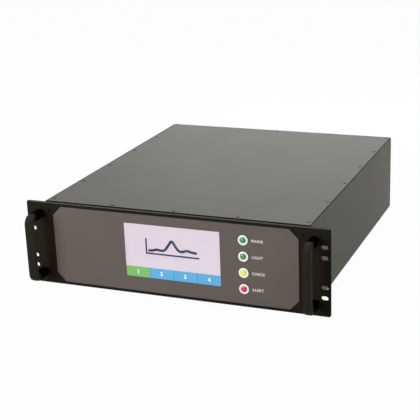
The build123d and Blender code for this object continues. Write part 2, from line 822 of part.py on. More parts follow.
# Power supply: folded case with an open terminal bay at its front end
supply_length = bay_length * supply_length_share
supply_width = column_width * supply_width_share
supply_x = column_edge - supply_width / 2
supply_front = y_rear_inner - equipment_rear_gap - supply_length
supply_bay = supply_length * supply_bay_share
z_supply_top = z_floor + supply_height
z_supply_bay = z_supply_top - supply_bay_depth
barrier_pitch = (supply_width - 2 * supply_barrier_margin) / (supply_barriers - 1)
with BuildPart() as power_supply:
    with BuildSketch(Plane.XY.offset(z_floor)):
        with Locations((supply_x, supply_front + supply_length / 2)):
            Rectangle(supply_width, supply_length)
    extrude(amount=supply_height)
    with BuildSketch(Plane.XY.offset(z_supply_top)):
        with Locations((supply_x, supply_front + supply_bay / 2)):
            Rectangle(supply_width - 2 * supply_wall, supply_bay)
    extrude(amount=-supply_bay_depth, mode=Mode.SUBTRACT)
    with BuildSketch(Plane.XY.offset(z_supply_bay)):
        with Locations((supply_x, supply_front + supply_bay * 0.36)):
            with GridLocations(barrier_pitch, 1, supply_barriers, 1):
                Rectangle(supply_barrier_thickness, supply_bay * 0.62)
    extrude(amount=supply_barrier_height)
    with BuildSketch(Plane.XY.offset(z_supply_top)):
        with Locations((supply_x, supply_front + supply_length * 0.62)):
            with GridLocations(supply_width * 0.2, 1, supply_grooves, 1):
                Rectangle(supply_width * 0.04, supply_length * 0.36)
    extrude(amount=-supply_groove_depth, mode=Mode.SUBTRACT)
save(power_supply, "power_supply")

# Optics plate with the light source, filter, detectors, fibre switch and reference coil
optics_length = bay_length * optics_length_share
optics_left = -column_edge
optics_right = optics_left + column_width
optics_rear = equipment_front + optics_length
z_optics = z_floor + optics_thickness
with BuildPart() as optics_plate:
    with BuildSketch(Plane.XY.offset(z_floor)):
        with Locations(((optics_left + optics_right) / 2, equipment_front + optics_length / 2)):
            Rectangle(column_width, optics_length)
    extrude(amount=optics_thickness)
save(optics_plate, "optics_plate")

free_width = column_width - 2 * optics_margin
free_length = optics_length - 2 * optics_margin
free_left = optics_left + optics_margin
free_right = optics_right - optics_margin
free_front = equipment_front + optics_margin
free_rear = optics_rear - optics_margin

laser_width = free_width * laser_width_share
laser_length = free_length * laser_length_share
laser_x = free_left + laser_width / 2
z_laser = z_optics + laser_height
with BuildPart() as laser_module:
    with BuildSketch(Plane.XY.offset(z_optics)):
        with Locations((laser_x, free_front + laser_length / 2)):
            Rectangle(laser_width, laser_length)
    extrude(amount=laser_height)
    chamfer(laser_module.edges().filter_by(Axis.Z), length=laser_edge_cut)
save(laser_module, "laser_module")

laser_fin_pitch = (laser_width - 2 * fin_margin) / (laser_fins - 1)
z_laser_sink = z_laser + laser_sink_base / 2
with BuildPart() as laser_heatsink:
    with BuildSketch(facing_front(free_front + laser_sink_inset)):
        with Locations((laser_x, z_laser_sink)):
            Rectangle(laser_width - 2 * laser_sink_side, laser_sink_base)
        with Locations((laser_x, z_laser_sink + laser_fin_height / 2)):
            with GridLocations(laser_fin_pitch, 1, laser_fins, 1):
                Rectangle(fin_thickness, laser_fin_height)
    extrude(amount=-(laser_length - 2 * laser_sink_inset))
save(laser_heatsink, "laser_heatsink")

detector_width = free_width * detector_width_share
detector_length = free_length * detector_length_share
detector_x = free_right - detector_width / 2
filter_length = free_length * filter_length_share
filter_x = (laser_x + laser_width / 2 + detector_x - detector_width / 2) / 2
with BuildPart() as filter_module:
    with BuildSketch(Plane.XY.offset(z_optics)):
        with Locations((filter_x, free_front + filter_length / 2)):
            Rectangle(free_width * filter_width_share, filter_length)
    extrude(amount=filter_height)
    chamfer(filter_module.faces().sort_by(Axis.Z)[-1].edges(), length=module_edge_cut)
save(filter_module, "filter_module")

for number in (1, 2):
    detector_y = free_front + detector_length * (0.5 + detector_step_share * (number - 1))
    with BuildPart() as detector:
        with BuildSketch(Plane.XY.offset(z_optics)):
            with Locations((detector_x, detector_y)):
                Rectangle(detector_width, detector_length)
        extrude(amount=detector_height)
        chamfer(detector.faces().sort_by(Axis.Z)[-1].edges(), length=module_edge_cut)
    save(detector, f"detector_module_{number}")

router_width = free_width * router_width_share
router_length = free_length * router_length_share
with BuildPart() as optical_switch:
    with BuildSketch(Plane.XY.offset(z_optics)):
        with Locations((free_right - router_width / 2, free_rear - router_length / 2)):
            Rectangle(router_width, router_length)
    extrude(amount=router_height)
    chamfer(optical_switch.faces().sort_by(Axis.Z)[-1].edges(), length=module_edge_cut)
save(optical_switch, "optical_switch")

coil_width = free_width * coil_width_share
coil_length = free_length * coil_length_share
with BuildPart() as reference_coil:
    with BuildSketch(Plane.XY.offset(z_optics)) as cassette:
        with Locations((free_left + coil_width / 2, free_rear - coil_length / 2)):
            Rectangle(coil_width, coil_length)
        chamfer(cassette.vertices(), length=min(coil_width, coil_length) * coil_corner_share)
    extrude(amount=coil_height)
    chamfer(reference_coil.faces().sort_by(Axis.Z)[-1].edges(), length=coil_edge_cut)
save(reference_coil, "reference_coil")

# Circuit boards on standoffs
z_board = z_floor + standoff_height
z_board_top = z_board + board_thickness
computer_width = column_width * computer_width_share
computer_length = bay_length * computer_length_share
computer_x = column_edge - computer_width / 2
computer_y = equipment_front + computer_length / 2
acquisition_width = column_width * acquisition_width_share
acquisition_length = bay_length * acquisition_length_share
acquisition_x = acquisition_width / 2 - column_edge
acquisition_y = optics_rear + equipment_spacing + acquisition_length / 2
boards = ((computer_x, computer_y, computer_width, computer_length),
          (acquisition_x, acquisition_y, acquisition_width, acquisition_length))
board_holes = [(x + sx * (width / 2 - board_hole_inset), y + sy * (length / 2 - board_hole_inset))
               for x, y, width, length in boards for sx in (-1, 1) for sy in (-1, 1)]
with BuildPart() as board_standoffs:
    with BuildSketch(Plane.XY.offset(z_floor)):
        with Locations(*board_holes):
            RegularPolygon(standoff_size, 6)
    extrude(amount=standoff_height)
save(board_standoffs, "board_standoffs")

sink_x = computer_x - computer_width * 0.08
sink_y = computer_y + computer_length * 0.06
with BuildPart() as computer_board:
    with BuildSketch(Plane.XY.offset(z_board)):
        with Locations((computer_x, computer_y)):
            Rectangle(computer_width, computer_length)
    extrude(amount=board_thickness)
    with BuildSketch(Plane.XY.offset(z_board_top)):
        with Locations((sink_x, sink_y)):
            Rectangle(sink_size * chip_share, sink_size * chip_share)
    extrude(amount=chip_height)
    with BuildSketch(Plane.XY.offset(z_board_top)):
        with Locations((computer_x + computer_width * 0.32, computer_y)):
            with GridLocations(computer_width * 0.06, 1, 2, 1):
                Rectangle(computer_width * 0.035, computer_length * 0.7)
        with Locations((computer_x - computer_width * 0.08, computer_y - computer_length * 0.42)):
            with GridLocations(computer_width * 0.16, 1, 4, 1):
                Rectangle(computer_width * 0.1, computer_length * 0.07)
    extrude(amount=connector_height)
save(computer_board, "computer_board")

z_sink = z_board_top + chip_height
sink_fin_pitch = (sink_size - 2 * sink_fin_margin) / (sink_fins - 1)
sink_fin_height = sink_height + sink_base / 2
with BuildPart() as computer_heatsink:
    with BuildSketch(facing_front(sink_y - sink_size / 2)):
        with Locations((sink_x, z_sink + sink_base / 2)):
            Rectangle(sink_size, sink_base)
        with Locations((sink_x, z_sink + sink_base + sink_height - sink_fin_height / 2)):
            with GridLocations(sink_fin_pitch, 1, sink_fins, 1):
                Rectangle(fin_thickness, sink_fin_height)
    extrude(amount=-sink_size)
save(computer_heatsink, "computer_heatsink")

with BuildPart() as acquisition_board:
    with BuildSketch(Plane.XY.offset(z_board)):
        with Locations((acquisition_x, acquisition_y)):
            Rectangle(acquisition_width, acquisition_length)
    extrude(amount=board_thickness)
    with BuildSketch(Plane.XY.offset(z_board_top)):
        with Locations((acquisition_x - acquisition_width * 0.2, acquisition_y)):
            Rectangle(acquisition_width * 0.4, acquisition_length * 0.6)
        with Locations((acquisition_x + acquisition_width * 0.24, acquisition_y)):
            with GridLocations(1, acquisition_length * 0.26, 1, 3):
                Rectangle(acquisition_width * 0.16, acquisition_length * 0.18)
    extrude(amount=converter_height)
save(acquisition_board, "acquisition_board")
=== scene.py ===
import json
import math

import bmesh
import bpy
from bpy.props import FloatProperty, FloatVectorProperty, PointerProperty
from mathutils import Matrix, Vector

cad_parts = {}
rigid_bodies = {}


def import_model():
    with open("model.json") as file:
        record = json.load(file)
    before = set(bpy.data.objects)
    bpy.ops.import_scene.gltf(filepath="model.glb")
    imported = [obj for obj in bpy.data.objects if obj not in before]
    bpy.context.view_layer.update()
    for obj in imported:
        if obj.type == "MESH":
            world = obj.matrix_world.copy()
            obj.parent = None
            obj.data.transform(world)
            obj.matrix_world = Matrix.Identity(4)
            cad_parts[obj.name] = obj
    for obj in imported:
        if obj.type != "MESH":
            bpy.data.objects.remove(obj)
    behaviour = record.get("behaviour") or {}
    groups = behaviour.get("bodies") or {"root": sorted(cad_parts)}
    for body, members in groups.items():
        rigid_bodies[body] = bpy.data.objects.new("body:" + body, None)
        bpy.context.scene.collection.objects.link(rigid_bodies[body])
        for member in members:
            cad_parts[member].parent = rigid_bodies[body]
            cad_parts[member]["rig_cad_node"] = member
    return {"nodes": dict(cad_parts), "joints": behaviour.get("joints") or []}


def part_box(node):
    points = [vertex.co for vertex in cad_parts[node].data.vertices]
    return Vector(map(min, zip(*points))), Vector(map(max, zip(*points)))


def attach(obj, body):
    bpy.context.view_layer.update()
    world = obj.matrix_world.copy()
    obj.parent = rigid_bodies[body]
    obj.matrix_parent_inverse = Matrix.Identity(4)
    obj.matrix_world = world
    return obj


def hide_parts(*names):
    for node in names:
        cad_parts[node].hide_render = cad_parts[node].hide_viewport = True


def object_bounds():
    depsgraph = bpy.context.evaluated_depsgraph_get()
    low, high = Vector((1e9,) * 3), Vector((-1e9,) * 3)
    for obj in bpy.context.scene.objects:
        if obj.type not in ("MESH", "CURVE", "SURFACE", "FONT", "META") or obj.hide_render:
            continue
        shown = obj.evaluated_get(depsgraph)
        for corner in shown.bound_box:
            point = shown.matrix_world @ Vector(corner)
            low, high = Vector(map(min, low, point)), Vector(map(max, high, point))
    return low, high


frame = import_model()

bl_info = {
    "name": "Sensing controller dresser",
    "version": (1, 0, 0),
    "blender": (4, 5, 0),
    "location": "3D View > Sidebar > Controller",
    "description": "Dresses the rack controller with finishes, screws, printed words and a lit display",
    "category": "Object",
}

# The cube, lamp and camera of a new file aren't part of the controller
for stray in list(bpy.data.objects):
    if stray.type in {"MESH", "LIGHT", "CAMERA"} and "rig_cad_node" not in stray:
        bpy.data.objects.remove(stray)

cad_low, cad_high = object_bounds()
nodes = frame["nodes"]
panel_low, panel_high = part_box("front_panel")
fascia_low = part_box("fascia_plate")[0]
handles_low, handles_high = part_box("handles")
cover_low, cover_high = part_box("top_cover")
tray_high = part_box("chassis_tray")[1]
rear_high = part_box("rear_panel")[1]
glass_low, glass_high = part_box("touch_glass")
bezels_low, bezels_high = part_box("indicator_bezels")
fan_low, fan_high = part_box("fan_frame")
inlet_low, inlet_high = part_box("power_inlet")
adapters_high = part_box("fibre_adapters")[1]
lens_boxes = [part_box(f"indicator_lens_{number}") for number in (1, 2, 3, 4)]
cap_boxes = [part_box(f"fibre_cap_{number}") for number in (1, 2, 3, 4)]

FACING = {
    "top": Matrix.Identity(4),
    "front": Matrix.Rotation(math.radians(90), 4, "X"),
    "rear": Matrix.Rotation(math.radians(-90), 4, "X"),
    "rear print": Matrix.Rotation(math.radians(180), 4, "Z") @ Matrix.Rotation(math.radians(90), 4, "X"),
}
SIDES = (-1, 1)

# Thin layers and clearances, in metres
PRINT_LIFT = 0.00003
PRINT_THICKNESS = 0.00004
PICTURE_LAYER = 0.00003
CLEARANCE = 0.00002
WELD = 0.0000005

# Each indicator's word, and the slot and colour of its lens
INDICATORS = (
    ("MAINS", "lens_green"),
    ("LIGHT", "lens_green"),
    ("CHECK", "lens_yellow"),
    ("ALERT", "lens_red"),
)

# Each word of the rear, the part that it stands over, and how far above it
REAR_WORDS = (
    ("MAINS", "power_inlet", 0.0025),
    ("NETWORK", "network_port", 0.0012),
    ("SERVICE", "usb_port", 0.0006),
    ("RELAYS", "relay_terminals", 0.0025),
)

# Order of the finishes in the display's picture
FIELD, ACTIVE, IDLE, NUMBER, INK, LINE = range(6)


def shade(red, green, blue):
    """Linear colour from screen values of 0 to 255."""
    shares = [value / 255 for value in (red, green, blue)]
    return tuple(c / 12.92 if c <= 0.04045 else ((c + 0.055) / 1.055) ** 2.4 for c in shares)


def colour(name, description, default):
    """A colour that a user may change."""
    return FloatVectorProperty(name=name, description=description, default=default, subtype="COLOR", size=3,
                               min=0.0, max=1.0)


def length(name, description, default):
    """A size in metres that a user may change."""
    return FloatProperty(name=name, description=description, default=default, min=0.0, precision=5,
                         unit="LENGTH")


def share(name, description, default):
    """A share from 0 to 1 that a user may change."""
    return FloatProperty(name=name, description=description, default=default, min=0.0, max=1.0,
                         subtype="FACTOR")


def angle(name, description, degrees):
    """A turn that a user may change."""
    return FloatProperty(name=name, description=description, default=math.radians(degrees), unit="ROTATION")


def power(name, description, default):
    """A lamp's power that a user may change."""
    return FloatProperty(name=name, description=description, default=default, min=0.0, unit="POWER")


class ControllerColours(bpy.types.PropertyGroup):
    """Colours of the controller's finishes."""

    case_paint: colour("Case paint", "Grey coat of the tray, cover and rear panel", shade(121, 122, 116))
    # Painted shade: the dark line of the seam beside the cover, laid on the tops of the side walls
    wall_edge: colour("Wall edge", "Bare cut edges along the top of the side walls", shade(42, 42, 38))
    panel_coat: colour("Panel coat", "Black coat of the front panel", shade(36, 31, 25))
    # Painted highlight: the light caught by the panel's upper edge
    panel_edge: colour("Panel edge", "Worn coat on the panel's upper edge", shade(112, 108, 99))
    fascia_coat: colour("Fascia coat", "Warm grey coat of the fascia plate", shade(108, 99, 93))
    # Painted shade: the dark of the handles' legs towards the panel
    handle_coat: colour("Handle coat", "Satin black of the handles' legs", shade(12, 11, 10))
    # The handles' own coat, which painted light and shade lighten and darken in places
    handle_grip: colour("Handle grip", "Coat of the handles' front, rubbed by hands", shade(43, 39, 34))
    screw_black: colour("Screw black", "Blackened steel of the screws", shade(30, 30, 27))
    # Painted shade: near-black coat for the shade in the seams under the cover
    rail_primer: colour("Rail primer", "Dark primer of the rails under the cover", (0.012, 0.012, 0.011))
    zinc: colour("Zinc", "Plated steel of clamp and sockets", (0.6, 0.6, 0.58))
    module_back: colour("Display back", "Black moulding behind the display", (0.02, 0.02, 0.022))
    screen_field: colour("Display field", "Pale field of the lit display", shade(218, 205, 214))
    tab_active: colour("Active tab", "Tab of the chosen channel", shade(116, 182, 90))
    tab_idle: colour("Idle tab", "Tabs of the other channels", shade(82, 165, 212))
    trace_ink: colour("Trace", "Line of the temperature trace", shade(24, 46, 86))
    print_white: colour("Print", "White of printed words and numbers", shade(244, 243, 240))
    ring_white: colour("Ring", "Bright rings round the indicators", (0.86, 0.86, 0.85))
    lens_green: colour("Green lens", "First and second indicator", shade(50, 138, 68))
    lens_yellow: colour("Yellow lens", "Third indicator", shade(232, 230, 84))
    lens_red: colour("Red lens", "Fourth indicator", shade(204, 40, 50))
    lamp_amber: colour("Amber lamp", "Small lamps on the network sockets", shade(226, 160, 40))
    moulding_black: colour("Black moulding", "Fan, inlet and switch", (0.02, 0.02, 0.02))
    adapter_green: colour("Adapter green", "Fibre adapters", (0.02, 0.22, 0.07))
    cap_white: colour("Cap white", "Dust caps of the fibre ports", (0.75, 0.75, 0.72))
    terminal_green: colour("Terminal green", "Relay terminal block", (0.03, 0.2, 0.07))
    aluminium: colour("Aluminium", "Milled plates and fins", (0.68, 0.68, 0.68))
    module_black: colour("Module black", "Anodised optical modules", (0.03, 0.03, 0.035))
    brass: colour("Brass", "Board standoffs", (0.72, 0.55, 0.26))
    board_green: colour("Board green", "Solder mask of the circuit boards", (0.015, 0.12, 0.04))
    floor: colour("Floor", "Plain pale floor", (0.8, 0.8, 0.8))


class ControllerSizes(bpy.types.PropertyGroup):
    """Sizes of the pieces that dress the controller, in metres."""

    handle_width: length("Handle width", "Bar across the panel", 0.0105)
    handle_depth: length("Handle depth", "Bar away from the panel", 0.012)
    handle_round: length("Handle edge", "Radius along the bar's edges", 0.0012)
    handle_bend: length("Handle bend", "Radius of the bar's middle line at its bends", 0.0085)
    handle_screw: length("Handle screw", "Head radius behind the panel", 0.0048)
    trim_width: length("Edging", "Thickness of the edging in the cover's seams", 0.00115)
    cover_screw: length("Cover screw", "Head radius of the cover screws", 0.0031)
    cover_screw_proud: length("Cover screw height", "How far the flush heads stand above the cover", 0.0002)
    cover_edge: length("Cover screw inset", "From the cover's side edges to its screws", 0.0045)
    cover_end: length("Cover end inset", "From the cover's ends to the screws between its corners", 0.0049)
    cover_first: length("Cover first screw", "From the cover's front edge to the first side screws", 0.0125)
    cover_pitch: length("Cover screw spacing", "Between the screws along the cover's ends", 0.1)
    # Painted highlight: height of the lit band on the panel's upper edge
    panel_wear: length("Panel wear", "Height of the worn slope on the panel's upper edge", 0.001)
    panel_screw: length("Panel screw", "Head radius of the front panel's screws", 0.0026)
    panel_screw_across: length("Panel screw across", "Sideways place of the panel screws", 0.202)
    panel_screw_rise: length("Panel screw rise", "Height of the panel screws from the middle", 0.0535)
    rear_screw: length("Rear screw", "Head radius of the rear panel's screws", 0.0031)
    rear_screw_inset: length("Rear screw inset", "From the tray's sides to the rear panel's screws", 0.00825)
    fan_screw_inset: length("Fan screw inset", "From the fan's edges to its screws", 0.00425)
    inlet_screw_across: length("Inlet screw across", "From the inlet's middle to its screws", 0.02)
    window_border_across: length("Window border", "Glass hidden at each side of the window", 0.006)
    window_border_rise: length("Window rim", "Glass hidden above and below the window", 0.0075)
    display_gap: length("Display gap", "Between the glass and the display's face", 0.0002)
    display_overlap: length("Display overlap", "Picture hidden behind each edge of the window", 0.001)
    tab_height: length("Tab height", "Height of the channel tabs", 0.0161)
    tab_line: length("Tab line", "Width of the line before each idle tab", 0.0011)
    trace_reach: length("Trace reach", "From the trace's middle to its ends", 0.043)
    trace_rise: length("Trace rise", "From the trace's middle to its foot and top", 0.0125)
    trace_axis: length("Trace axis", "Width of the trace's two axes", 0.0026)
    trace_line: length("Trace line", "Half the width of the trace's line", 0.0023)
    number_height: length("Number height", "Height of the numbers on the tabs", 0.0064)
    word_height: length("Word height", "Height of the words beside the indicators", 0.0042)
    word_gap: length("Word gap", "From an indicator's middle to its word", 0.012)
    rear_word_height: length("Rear word height", "Height of the words and numbers on the rear", 0.0034)
    port_number_lift: length("Port number lift", "From the fibre ports to their numbers", 0.002)
    # Painted shade: a dark band for the shadow round each indicator's ring
    gasket_width: length("Gasket width", "Dark gasket that shows round each indicator's ring", 0.0005)
    lens_margin: length("Lens margin", "Edge of each lens that its ring covers", 0.0004)
    paint_depth: length("Paint grain", "Depth of the grain in the painted coats", 0.00005)


class ControllerStage(bpy.types.PropertyGroup):
    """Camera and light of the picture."""

    camera_place: FloatVectorProperty(name="Camera", description="Where the camera stands", size=3,
                                      default=(0.62413, -1.34733, 0.56673), subtype="XYZ", unit="LENGTH")
    camera_yaw: angle("Yaw", "Turn of the view to the left", 22.6445)
    camera_pitch: angle("Pitch", "Tilt of the view downwards", 18.5493)
    camera_roll: angle("Roll", "Roll of the view", -2.2348)
    camera_lens: FloatProperty(name="Lens", description="Focal length in millimetres", default=92.308,
                               min=1.0)
    sky_level: share("Sky level", "Strength of the even light from all round", 0.15)
    key_power: power("Key lamp", "Power of the large lamp above the rear", 10.2)
    side_power: power("Side lamp", "Power of the lamp behind the right side", 2.4)
    fill_power: power("Fill lamp", "Power of the lamp before the panel", 37.5)
    floor_glow: share("Floor white", "Share of plain white in the floor as the camera sees it", 0.97)


def tints():
    """The colours that are set in the scene."""
    return bpy.context.scene.controller_colours


def sizes():
    """The sizes that are set in the scene."""
    return bpy.context.scene.controller_sizes


# Finishes


def feed(node, inputs):
    """Sets a node's inputs, and links those that are given another node's output."""
    for name, value in inputs.items():
        if isinstance(value, bpy.types.NodeSocket):
            node.id_data.links.new(value, node.inputs[name])
        else:
            node.inputs[name].default_value = value
    return node


def add_node(tree, kind, inputs):
    """A new node with its inputs set or linked."""
    return feed(tree.nodes.new("ShaderNode" + kind), inputs)


def empty_tree(owner):
    """The cleared node tree of a material or world."""
    owner.use_nodes = True
    owner.node_tree.nodes.clear()
    return owner.node_tree


def start_finish(name):
    """A new material with its tree and shader."""
    material = bpy.data.materials.new(name)
    tree = empty_tree(material)
    shader = tree.nodes.new("ShaderNodeBsdfPrincipled")
    add_node(tree, "OutputMaterial", {"Surface": shader.outputs["BSDF"]})
    return material, tree, shader


def placed(tree, stretch=(1, 1, 1), centre=(0, 0, 0)):
    """Object coordinates, moved so that centre is the origin and then stretched."""
    where = tree.nodes.new("ShaderNodeTexCoord")
    shift = add_node(tree, "Mapping", {
        "Vector": where.outputs["Object"],
        "Location": [-c * s for c, s in zip(centre, stretch)],
        "Scale": stretch,
    })
    return shift.outputs["Vector"]


def grain(tree, per_metre, detail=3.0, stretch=(1, 1, 1)):
    """Noise with that many features in a metre."""
    noise = add_node(tree, "TexNoise", {
        "Vector": placed(tree, stretch),
        "Scale": per_metre,
        "Detail": detail,
    })
    return noise.outputs["Fac"]


def ranged(tree, amount, low, high, start=0.25, end=0.75):
    """An amount that runs from start to end, spread between two values."""
    spread = add_node(tree, "MapRange", {
        "Value": amount,
        "From Min": start,
        "From Max": end,
        "To Min": low,
        "To Max": high,
    })
    return spread.outputs["Result"]


def toned(tree, amount, *stops):
    """Colour along a ramp of (place, colour) stops."""
    ramp = add_node(tree, "ValToRGB", {"Fac": amount})
    elements = ramp.color_ramp.elements
    while len(elements) < len(stops):
        elements.new(0.5)
    for element, (place, tint) in zip(elements, stops):
        element.position = place
        element.color = (*tint, 1.0)
    return ramp.outputs["Color"]


def lighter(tint, times):
    """The same hue, lighter or darker."""
    return tuple(min(1.0, c * times) for c in tint)


def mottled(tree, tint, per_metre, spread):
    """A colour that drifts a little over the surface."""
    dark, pale = lighter(tint, 1 - spread), lighter(tint, 1 + spread)
    return toned(tree, grain(tree, per_metre), (0.3, dark), (0.7, pale))


def embossed(tree, height, depth, strength, edge=0.0003):
    """Normals of a relief, over edges that are softened by a small radius."""
    soft = add_node(tree, "Bevel", {"Radius": edge})
    soft.samples = 4
    relief = add_node(tree, "Bump", {
        "Strength": strength,
        "Distance": depth,
        "Height": height,
        "Normal": soft.outputs["Normal"],
    })
    return relief.outputs["Normal"]


def rubbed(tree, shader, tint, axis, start, end, dull=False, by="Normal"):
    """Paints light or shade into the shader: a second colour, perhaps without gloss, by where faces look or
    lie along an axis.
    """
    clean = shader.inputs["Base Color"].links[0].from_socket
    where = tree.nodes.new("ShaderNodeTexCoord")
    parts = add_node(tree, "SeparateXYZ", {"Vector": where.outputs[by]})
    cover = ranged(tree, parts.outputs[axis], 0.0, 1.0, start, end)
    blend = tree.nodes.new("ShaderNodeMix")
    blend.data_type = "RGBA"
    feed(blend, {"Factor": cover, "A": clean, "B": (*tint, 1.0)})
    feed(shader, {"Base Color": blend.outputs["Result"]})
    if dull:
        gloss = shader.inputs["Specular IOR Level"].default_value
        feed(shader, {"Specular IOR Level": ranged(tree, cover, gloss, 0.0, 0.0, 1.0)})


def painted(name, tint, roughness, per_metre, gloss, painted_shading=()):
    """Powder coat: an even colour with a fine peel, and perhaps painted light or shade on chosen faces, each
    given as a dict of keywords.
    """
    material, tree, shader = start_finish(name)
    peel = grain(tree, per_metre, detail=2.0)
    feed(shader, {
        "Base Color": mottled(tree, tint, per_metre=11, spread=0.05),
        "Specular IOR Level": gloss,
        "Roughness": ranged(tree, peel, roughness - 0.05, roughness + 0.05),
        "Normal": embossed(tree, peel, sizes().paint_depth, strength=0.35),
    })
    for faces in painted_shading:
        rubbed(tree, shader, **faces)
    return material


def moulded(name, tint, roughness=0.5):
    """Moulded plastic with an eroded grain."""
    material, tree, shader = start_finish(name)
    erosion = grain(tree, per_metre=2600, detail=2.0)
    feed(shader, {
        "Base Color": mottled(tree, tint, per_metre=60, spread=0.06),
        "Roughness": ranged(tree, erosion, roughness - 0.08, roughness + 0.08),
        "Normal": embossed(tree, erosion, depth=0.00004, strength=0.4, edge=0.0002),
    })
    return material


def glossy(name, tint):
    """Bright moulding with a gloss, and a painted glow that keeps it bright."""
    material, tree, shader = start_finish(name)
    feed(shader, {
        "Base Color": mottled(tree, tint, per_metre=300, spread=0.02),
        "Roughness": ranged(tree, grain(tree, per_metre=900), 0.16, 0.26),
        "Coat Weight": 0.5,
        # Painted glow: the ring gives off its own colour, to read bright white
        "Emission Color": (*tint, 1.0),
        "Emission Strength": 0.34,
    })
    return material


def brushed(name, tint, roughness, stretch):
    """Bare metal with drawn lines along one direction."""
    material, tree, shader = start_finish(name)
    lines = grain(tree, per_metre=1, detail=4.0, stretch=stretch)
    feed(shader, {
        "Base Color": toned(tree, lines, (0.25, lighter(tint, 0.86)), (0.75, lighter(tint, 1.08))),
        "Metallic": 1.0,
        "Roughness": ranged(tree, lines, roughness - 0.08, roughness + 0.1),
        "Normal": embossed(tree, lines, depth=0.00002, strength=0.3, edge=0.0002),
    })
    return material


def blackened(name, tint):
    """Oil-blackened steel."""
    material, tree, shader = start_finish(name)
    feed(shader, {
        "Base Color": mottled(tree, tint, per_metre=900, spread=0.2),
        "Specular IOR Level": 0.06,
        "Roughness": ranged(tree, grain(tree, per_metre=1500), 0.34, 0.5),
    })
    return material


def clear_glass(name):
    """Thin touch glass, coated so that it reflects little, with a faint unevenness of polish."""
    material, tree, shader = start_finish(name)
    feed(shader, {
        "Base Color": (0.97, 0.98, 1.0, 1.0),
        "Transmission Weight": 1.0,
        "IOR": 1.18,
        "Roughness": ranged(tree, grain(tree, per_metre=40), 0.015, 0.04),
    })
    return material


def lit(name, tint, level):
    """Display colour: light from behind, with a fine row structure and a slight drift."""
    material, tree, shader = start_finish(name)
    rows = add_node(tree, "TexWave", {"Vector": placed(tree), "Scale": 640})
    rows.bands_direction = "Z"
    glow = toned(tree, rows.outputs["Fac"], (0.0, lighter(tint, 0.985)), (1.0, lighter(tint, 1.01)))
    drift = toned(tree, grain(tree, per_metre=12), (0.3, lighter(tint, 0.1)), (0.7, lighter(tint, 0.14)))
    feed(shader, {
        "Base Color": drift,
        "Roughness": 0.6,
        "Emission Color": glow,
        "Emission Strength": level,
    })
    return material


def tinted_lens(name, tint, centre, radius):
    """Tinted indicator lens, brightest over the lamp behind its middle."""
    material, tree, shader = start_finish(name)
    reach = radius * 1.4
    ball = add_node(tree, "TexGradient", {"Vector": placed(tree, (1 / reach,) * 3, centre)})
    ball.gradient_type = "SPHERICAL"
    body = toned(tree, ball.outputs["Fac"], (0.0, lighter(tint, 0.72)), (0.9, lighter(tint, 1.12)))
    feed(shader, {
        "Base Color": body,
        "Roughness": 0.22,
        "Coat Weight": 0.4,
        "Emission Color": body,
        "Emission Strength": 0.3,
        "Normal": embossed(tree, grain(tree, per_metre=700), depth=0.00004, strength=0.25, edge=0.0001),
    })
    return material


def printed(name, tint):
    """Screen-printed ink with a slightly broken edge of tone."""
    material, tree, shader = start_finish(name)
    feed(shader, {"Base Color": mottled(tree, tint, per_metre=1800, spread=0.04), "Roughness": 0.55})
    return material


def circuit(name, tint):
    """Solder mask over copper runs."""
    material, tree, shader = start_finish(name)
    runs = add_node(tree, "TexBrick", {
        "Vector": placed(tree),
        "Scale": 90,
        "Mortar Size": 0.03,
        "Color1": (*tint, 1.0),
        "Color2": (*lighter(tint, 0.8), 1.0),
        "Mortar": (*lighter(tint, 2.2), 1.0),
    })
    feed(shader, {
        "Base Color": runs.outputs["Color"],
        "Roughness": ranged(tree, grain(tree, per_metre=200), 0.25, 0.4),
        "Normal": embossed(tree, runs.outputs["Fac"], depth=0.00003, strength=0.3, edge=0.0001),
    })
    return material


def dress(finish, *names):
    """Gives CAD nodes a finish."""
    for name in names:
        slots = nodes[name].data.materials
        slots.clear()
        slots.append(finish)


# Shapes


def at(x, y, z, facing):
    """Place of a shape that was made upright at the origin."""
    return Matrix.Translation((x, y, z)) @ FACING[facing]


def four_corners(across, depth, rise, facing, x=0.0, z=0.0):
    """Places at the corners of a rectangle round a middle."""
    return [at(x + sx * across, depth, z + sz * rise, facing) for sx in SIDES for sz in SIDES]


def only(kind, geometry):
    """The vertices, edges or faces among an operator's results."""
    return [g for g in geometry if isinstance(g, kind)]


def newest(mesh, before, finish=0):
    """The vertices that weren't there before, with their faces given one of the piece's finishes."""
    made = [v for v in mesh.verts if v not in before]
    for face in {f for v in made for f in v.link_faces}:
        face.material_index = finish
    return made


def settled(name, mesh):
    """The lasting data of a mesh that is ready."""
    data = bpy.data.meshes.new(name)
    mesh.to_mesh(data)
    mesh.free()
    return data


def in_scene(name, data):
    """A new object in the scene."""
    made = bpy.data.objects.new(name, data)
    bpy.context.scene.collection.objects.link(made)
    return made


def piece(name, mesh, finishes, body, sharp=35):
    """Closes a mesh, turns its faces outwards and makes it a piece that rides on a body."""
    bmesh.ops.remove_doubles(mesh, verts=mesh.verts, dist=WELD)
    bmesh.ops.recalc_face_normals(mesh, faces=mesh.faces)
    data = settled(name, mesh)
    for finish in finishes:
        data.materials.append(finish)
    data.shade_smooth()
    data.set_sharp_from_angle(angle=math.radians(sharp))
    made = in_scene(name, data)
    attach(made, body)
    return made


def turn(mesh, profile, place, steps=48, finish=0):
    """Turns a profile of (radius, height) points round its axis and sets it in place."""
    before = set(mesh.verts)
    corners = [mesh.verts.new((radius, 0, height)) for radius, height in profile]
    edges = [mesh.edges.new(pair) for pair in zip(corners, corners[1:])]
    bmesh.ops.spin(mesh, geom=corners + edges, cent=(0, 0, 0), axis=(0, 0, 1), angle=math.tau, steps=steps,
                   use_merge=True)
    bmesh.ops.transform(mesh, matrix=place, verts=newest(mesh, before, finish))


